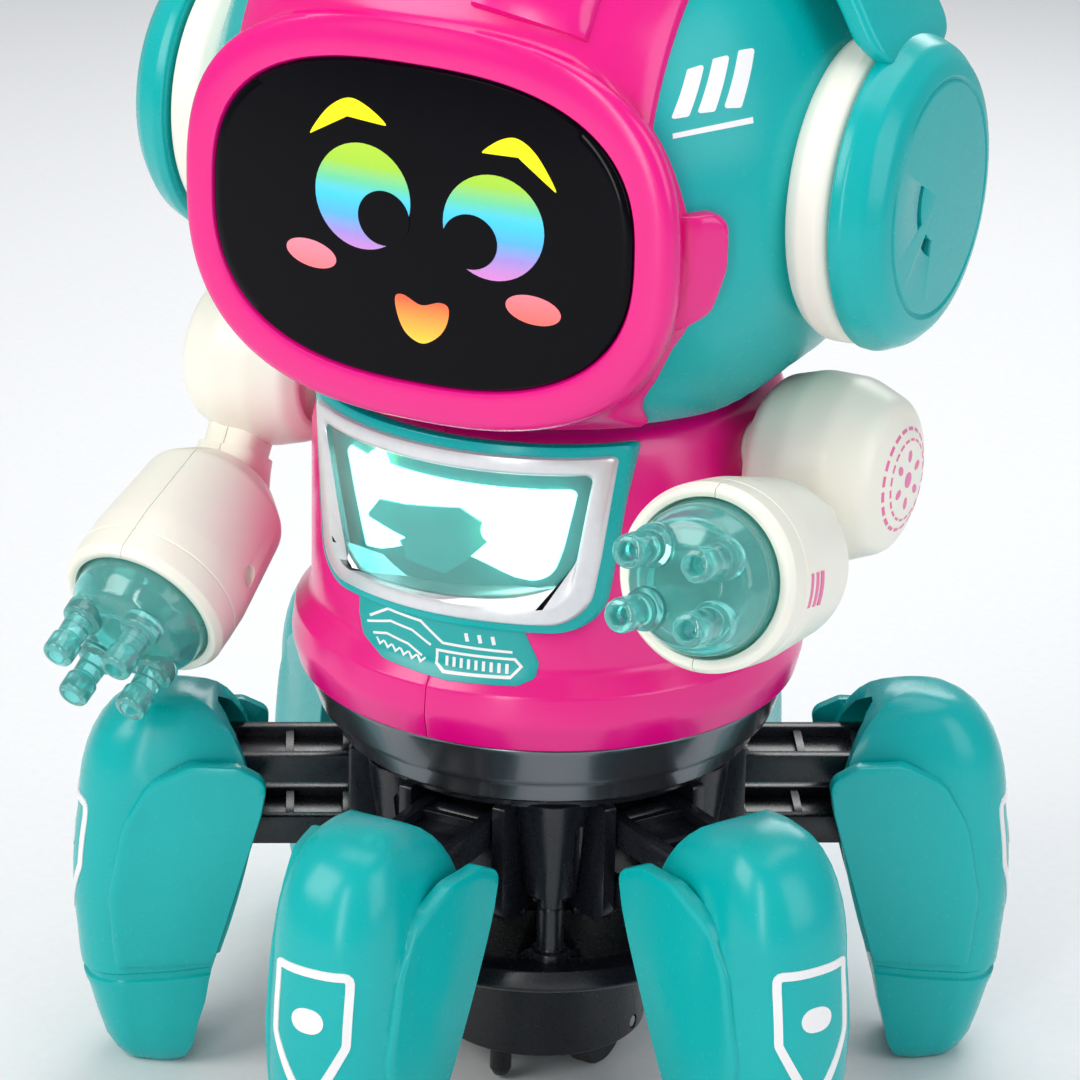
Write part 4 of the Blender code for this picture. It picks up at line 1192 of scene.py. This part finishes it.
def makeFoot():
    # wide disc with a skirt round the wheels, and three posts that screw to the hub's bosses
    skirt, top, under = foot["skirt"], foot["top"], foot["under"]
    disc = lathe([(1.5, top - 1.2, 0.2), (foot["radius"] - 6.5, top - 1.2, 0.4),
            (foot["radius"] - 5.8, top, 0.4),
            (foot["radius"] - 0.8, top, 0.4), (foot["radius"], under + 1, 0.8), (foot["radius"] - 1,
            under, 0.5),
            (skirt, under, 0.6), (skirt, 7, 0.4), (skirt - 1.5, 7, 0.4), (skirt - 1.5, under + 1.6, 0.3),
            (1.5, under + 1.6, 0.2)], closed=True, steps=160)
    extras = [lathe([(0, 0.5, 0), (1.2, 0.7, 0.6), (1.9, 2.0, 0.8), (1.9, top - 2, 0), (0, top - 2, 0)],
            centre=(0, y, 0), steps=32) for y in (-14.5, 14.5)]
    for turn in (30, 150, 270):
        r = foot["postRadius"]
        upright = lathe([(0, 41.7, 0), (r - 0.1, 41.7, 0.3), (r, 41, 0.2), (r, 33.6, 0.4),
                (r + 0.9, 33.2, 0.3), (r + 1.1, top - 0.9, 0.2),
                (r + 3.2, top - 1.1, 0.3), (r + 3.3, top - 2, 0), (0, top - 2, 0)], centre=(0,
                -foot["postAt"], 0), steps=48)
        extras.append(moved(upright, turnAbout("Z", turn)))
    axleHole = rod(1.3, -20, 20, "X", (0, 0, 9), 24)
    disc = boolean("DIFFERENCE", boolean("UNION", disc, *extras), axleHole)
    piece("footDisc", disc, blackAbs, "chassis", ["base_plate"])
    post = lathe([(1.5, 35.7, 0.2), (3.2, 35.7, 0.3), (3.2, 34.9, 0.3), (6.8, 33.8, 0.4), (7, 32.4, 0.3),
            (1.5, 32.4, 0.2)], closed=True, steps=64)
    piece("centrePost", post, blackAbs, "chassis", ["centre_post"])


def makeWheels():
    for side, x in (("left", 11.2), ("right", -11.2)):
        hubPart = lathe([(1.3, -2.2, 0.2), (5.6, -2.2, 0.3), (5.8, -1.2, 0.3), (5.8, 1.2, 0.3),
                (5.6, 2.2, 0.3), (1.3, 2.2, 0.2)], "X", (x, 0, 9), 48, True)
        rows = []
        for k, a in enumerate(turns(144)):
            tread = 0.0 if k % 4 < 2 else 0.3
            rows.append([(x + w, r * math.cos(a), 9 + r * math.sin(a)) for r, w in
                    ((5.8, -2.2), (8.4, -2.2), (8.95 - tread, -1.5), (8.95 - tread, 1.5), (8.4, 2.2),
                    (5.8, 2.2))])
        tyre = skin(rows + rows[:1])
        piece(side + "Tyre", grouped(tyre, hubPart), tyreRubber, "wheelset",
            [side + "_drive_wheel"])


makeRing()
makeHub()
makeFoot()
makeWheels()
print("base made")


# ---- legs

# casing from the sole up: height, inner radius, outer radius, inner and nose half widths
casing = [(0.0, 64.5, 72.6, 5.6, 4.6), (0.5, 63.4, 73.7, 6.6, 5.7), (1.8, 62.2, 75.0, 7.8, 6.8),
    (4.5, 60.9, 76.6, 9.0, 8.0),
    (9.0, 60.0, 78.0, 10.0, 8.9), (14.0, 58.6, 79.3, 10.8, 9.6), (18.0, 57.6, 80.2, 11.3, 10.0),
    (19.0, 57.4, 80.4, 11.5, 10.1), (24.0, 56.0, 81.0, 12.1, 10.4), (30.0, 54.2, 81.5, 13.0, 10.7),
    (36.0, 52.6, 81.6, 13.8, 10.9), (42.0, 51.2, 81.2, 14.5, 11.0), (48.0, 50.0, 80.4, 15.1, 11.0)]


def legFrame(k):
    # the turn that carries a leg made at the front to its own place
    return turnAbout("Z", 60 * k)


def shoulderOf(inner, outer, halfNose):
    # where a flat side of the casing turns into its round nose
    return outer - (outer - inner) * 0.36 - halfNose * 0.1


def casingLoop(z, inner, outer, halfIn, halfNose, grow=0.0, count=36):
    # one level of the casing: flat flared sides and a round nose
    shoulder = shoulderOf(inner, outer, halfNose)
    right = []
    for i in range(7):
        t = i / 7
        bow = 0.5 * math.sin(math.pi * t)
        right.append((inner + (shoulder - inner) * t, halfIn + (halfNose + 0.6 - halfIn) * t + bow + grow))
    for i in range(13):
        a = math.pi / 2 * i / 12
        right.append((shoulder + (outer + grow - shoulder) * math.sin(a),
                (halfNose + 0.6 + grow) * math.cos(a) ** 0.82))
    loop = [(w, -r, z) for r, w in right]
    return loop + [(-w, -r, z) for r, w in reversed(right[:-1])]


def level(z):
    # the casing's measures at any height, from the flat sides up into the dome
    keys = [row[0] for row in casing]
    return tuple(along(list(zip(keys, [row[i] for row in casing])), z) for i in range(1, 5))


def makeCasing():
    heights = [row[0] for row in casing[:6]] + [16.6, 17.6, 17.9, 18.3, 19.0, 19.6, 20.0] + [22 + 2.2 * i
        for i in range(13)]
    rows = []
    for z in heights:
        groove = -0.55 if 17.7 < z < 19.3 else 0.0
        inner, outer, halfIn, halfNose = level(z)
        # the parting groove above the foot slopes down towards the nose
        loop = casingLoop(z, inner, outer, halfIn, halfNose, groove)
        slope = 1.0 if 14.5 < z < 24 else 0.0
        rows.append([(x, y, zz + slope * 0.13 * (70 + y)) for x, y, zz in loop])
    # dome over the nose
    top = heights[-1]
    inner, outer, halfIn, halfNose = level(top)
    for i in range(1, 11):
        a = math.pi / 2 * i / 10
        s, c = math.sin(a), max(math.cos(a), 0.02)
        z = top + (leg["domeTop"] - top) * s
        mid = leg["domeMiddle"]
        rows.append(casingLoop(z, mid - (mid - inner) * c ** 0.9, mid + (outer - mid) * c ** 0.72,
                0.6 + (11.4 - 0.6) * c ** 0.75, 0.4 + (halfNose - 0.4) * c ** 0.62))
    shell = solid(rows)
    hollowRows = []
    for z in (20.5, 24, 30, 36, 42, 48, 54, 60, 64, 66.6):
        inner, outer, halfIn, halfNose = level(min(z, top))
        if z > top:
            c = math.sqrt(max(1 - ((z - top) / (67.0 - top)) ** 2, 0.02))
            inner, outer = 40, leg["domeMiddle"] + (outer - leg["domeMiddle"]) * c
            halfIn, halfNose = 10.6 * c ** 0.8, halfNose * c
        hollowRows.append(casingLoop(z, 40 if z > top else inner - 9, outer, halfIn, halfNose, -2.0))
    return boolean("DIFFERENCE", shell, solid(hollowRows))


def wingPlate(sign):
    # flat plate on the flank: its top corner stands free and its front edge curves along the spine
    outline = [(74.0, 20.6, 1.0), (57.0, 22.4, 1.5), (48.6, 52.0, 2.0), (47.6, 58.0, 2.6),
        (52.5, 60.6, 2.4), (60.5, 60.4, 5), (68.0, 56.0, 8), (72.4, 48.0, 12), (75.2, 34.0, 12)]
    outline = finely(rounded(outline, True, 5), 2.5)

    def flank(r, z, out):
        inner, outer, halfIn, halfNose = level(min(z, 50))
        shoulder = shoulderOf(inner, outer, halfNose)
        t = (r - inner) / (shoulder - inner)
        width = halfIn + (halfNose + 0.6 - halfIn) * t + 0.5 * math.sin(math.pi * min(max(t, 0), 1))
        if t > 1:
            s = min((r - shoulder) / (outer - shoulder), 0.999)
            width = (halfNose + 0.6) * math.cos(math.asin(s)) ** 0.82
        lean = max(z - 50, 0) * 0.02
        return Vector((sign * (width + lean + out), -r, z))
    rows = [[flank(u, v, o) for u, v in shrunk(outline, (61.5, 41.0), s)]
        for s, o in ((0.02, -1.6), (0.4, -1.6), (0.7, -1.6), (1, -1.6), (1, 0.45), (0.992, 0.8),
            (0.975, 0.95), (0.9, 0.95), (0.75, 0.95), (0.55, 0.95), (0.35, 0.95), (0.02, 0.95))]
    return solid(rows)


def makeLegs():
    body = makeCasing()
    wings = grouped(wingPlate(1), wingPlate(-1))
    lugs = []
    for sign in (-1, 1):
        outline = rounded([(-52.5, 41, 0.6), (-70, 41, 0.6), (-66, 60.5, 0.6), (-52.5, 60.5, 0.6)])
        lugs.append(slab(outline, [sign * x for x in leg["lug"]]))
    body = boolean("UNION", body, grouped(wings, *lugs), crossing=True)
    # the lower bore is wider, for the play of the open loop
    bores = [pinBore(leg["pivot"], leg["upperZ"]), pinBore(leg["pivot"], leg["lowerZ"], 0.3)]
    body = softened(boolean("DIFFERENCE", body, grouped(*bores)), 0.22, 2, 50)

    def onNose(u, v, rise):
        # u runs round the nose in millimetres, v is the height
        inner, outer, halfIn, halfNose = level(min(v, 50))
        shoulder = shoulderOf(inner, outer, halfNose)
        a = min(max(u / 11.5, -1.45), 1.45)
        deep, wide = outer - shoulder + rise, halfNose + 0.6 + rise
        x = wide * math.copysign(abs(math.sin(a)) ** 0.82, a) if a else 0.0
        return Vector((x, -(shoulder + deep * math.cos(a)), v))
    badge = [(-5.9, 49.8, 1.0), (5.9, 49.8, 1.0), (5.9, 38.0, 2), (1.0, 28.4, 0.8), (-1.0, 28.4, 0.8),
        (-5.9, 38.0, 2)]
    line = ribbon(finely(rounded(badge, True, 3), 1.4), 1.5, onNose, True, 0.16, 0.3)
    dot = film(ellipse(0, 41.6, 2.1, 2.1, 0, 28), onNose, 0.14, 0.3, 5)
    emblem = grouped(line, dot)
    for k in range(6):
        place = legFrame(k)
        name, group = f"leg{k + 1}", f"leg_{k + 1}_casing"
        piece(name + "Casing", moved(body, place), tealAbs, group, [f"leg_{k + 1}_shell"], 34)
        piece(name + "Badge", moved(emblem, place), whiteInk, group)


def makeLinks():
    # parallel arms: side bars round the pins, a thin web, cross ribs and pins with heads
    def link(tail):
        parts = []
        for sign in (-1, 1):
            outline = []
            for centre, first in ((0, -90), (-28, 90)):
                for k in range(11):
                    a = math.radians(first + 18 * k)
                    outline.append((centre + 2.5 * math.cos(a), 2.5 * math.sin(a)))
            parts.append(softened(slab(outline, (sign * 5.0, sign * 7.2)), 0.3, 2, 60))
        parts.append(block((-5.2, -26.5, -0.7), (5.2, -1.5, 0.7), 0.2))
        for y in (-4.2, -14, -23.8):
            parts.append(block((-5.2, y - 0.7, -2.1), (5.2, y + 0.7, 2.1), 0.25))
        for y in (0, -28):
            parts.append(lathe([(0, -9.5, 0), (1.5, -9.5, 0.2), (1.7, -9.1, 0), (1.7, 9.1, 0),
                    (1.5, 9.5, 0.2), (0, 9.5, 0)], "X", (0, y, 0), 24))
        if tail:
            parts.append(block((-2.5, -1, -2.1), (2.5, 14.9, 0.5), 0.4))
        return grouped(*parts)
    upper, lower = link(True), link(False)
    for k in range(6):
        for title, mesh, z in (("Upper", upper, leg["upperZ"]), ("Lower", lower, leg["lowerZ"])):
            place = legFrame(k) @ shift(0, -leg["hubPivot"], z)
            piece(f"leg{k + 1}{title}Link", moved(mesh, place), blackAbs, f"leg_{k + 1}_{title.lower()}",
                [f"leg_{k + 1}_{title.lower()}_arm"])


makeLegs()
makeLinks()
print("legs made")


# ---- CAD parts that stay, with their own finishes

finishes = {"drive_shaft": steel, "wheel_axle": steel, "crown_gear": acetal, "cam_gear": acetal,
    "drive_motor": steel,
    "main_board": boardFr4, "speaker": blackAbs, "battery_box": blackAbs, "battery_1": cellWrap,
    "battery_2": cellWrap, "battery_3": cellWrap}
for name, finish in finishes.items():
    node = frame["nodes"][name]
    node.data.materials.clear()
    node.data.materials.append(finish)


# ---- floor, light and camera

view = {"from": (312.5, -614.9, 369.7), "aim": (0.3, -4.2, 97.4), "roll": 1.21, "lens": 145.98}
lights = {
    "keySoftbox": {"at": (-420, -620, 620), "size": (520, 520), "power": 3.9, "colour": "#FFFDF8"},
    "frontStrip": {"at": (120, -760, 330), "size": (90, 640), "power": 1.4, "colour": "#FFFFFF"},
    "sideFill": {"at": (720, -160, 420), "size": (420, 620), "power": 1.7, "colour": "#F6FAFF"},
    "topSoftbox": {"at": (0, 120, 760), "size": (620, 620), "power": 2.4, "colour": "#FFFFFF"},
    "backRim": {"at": (-160, 640, 460), "size": (520, 220), "power": 1.6, "colour": "#FFFFFF"},
}


def makeStage():
    # a pale sweep that rises behind the robot on every side, so that each view has a plain ground
    rows = []
    for radius, z in rounded([(0.01, 0, 0), (2600, 0, 900), (3400, 1500, 0)], False, 16):
        rows.append([(radius * math.cos(math.pi * k / 48), radius * math.sin(math.pi * k / 48), z)
                for k in range(96)])
    mesh = skin(rows)
    mesh.flip_normals()
    floor = placed("paleSweep", mesh)
    mesh.shade_smooth()
    made, tree, shader, place = startMaterial("backdropPaper", {"Roughness": 0.62, "IOR": 1.45})
    twoTone(tree, place, 2.0, 4.0, ("#E9EAEC", "#F0F1F2"), shader.inputs["Base Color"])
    mesh.materials.append(made)


def makeLights():
    for name, setting in lights.items():
        lamp = bpy.data.lights.new(name, "AREA")
        lamp.shape = "RECTANGLE"
        lamp.size, lamp.size_y = (side * mm for side in setting["size"])
        lamp.energy = setting["power"]
        lamp.color = linearColour(setting["colour"])[:3]
        holder = placed(name, lamp)
        holder.location = Vector(setting["at"]) * mm
        away = Vector(setting["at"]) - Vector((0, 0, 110))
        holder.rotation_euler = away.to_track_quat("Z", "Y").to_euler()
    world = bpy.data.worlds.new("studio")
    world.use_nodes = True
    background = world.node_tree.nodes["Background"]
    background.inputs["Color"].default_value = linearColour("#F3F6FA")
    background.inputs["Strength"].default_value = 0.4
    bpy.context.scene.world = world


def makeCamera():
    camera = bpy.data.cameras.new("camera")
    camera.lens = view["lens"]
    camera.sensor_width = 36
    camera.clip_start, camera.clip_end = 0.05, 20
    holder = placed("camera", camera)
    away = Vector(view["from"]) - Vector(view["aim"])
    turn = away.to_track_quat("Z", "Y").to_matrix() @ Matrix.Rotation(math.radians(view["roll"]), 3, "Z")
    holder.matrix_world = Matrix.Translation(Vector(view["from"]) * mm) @ turn.to_4x4()
    bpy.context.scene.camera = holder


makeStage()
makeLights()
makeCamera()
bpy.context.scene.view_settings.view_transform = "Standard"
print("stage made")
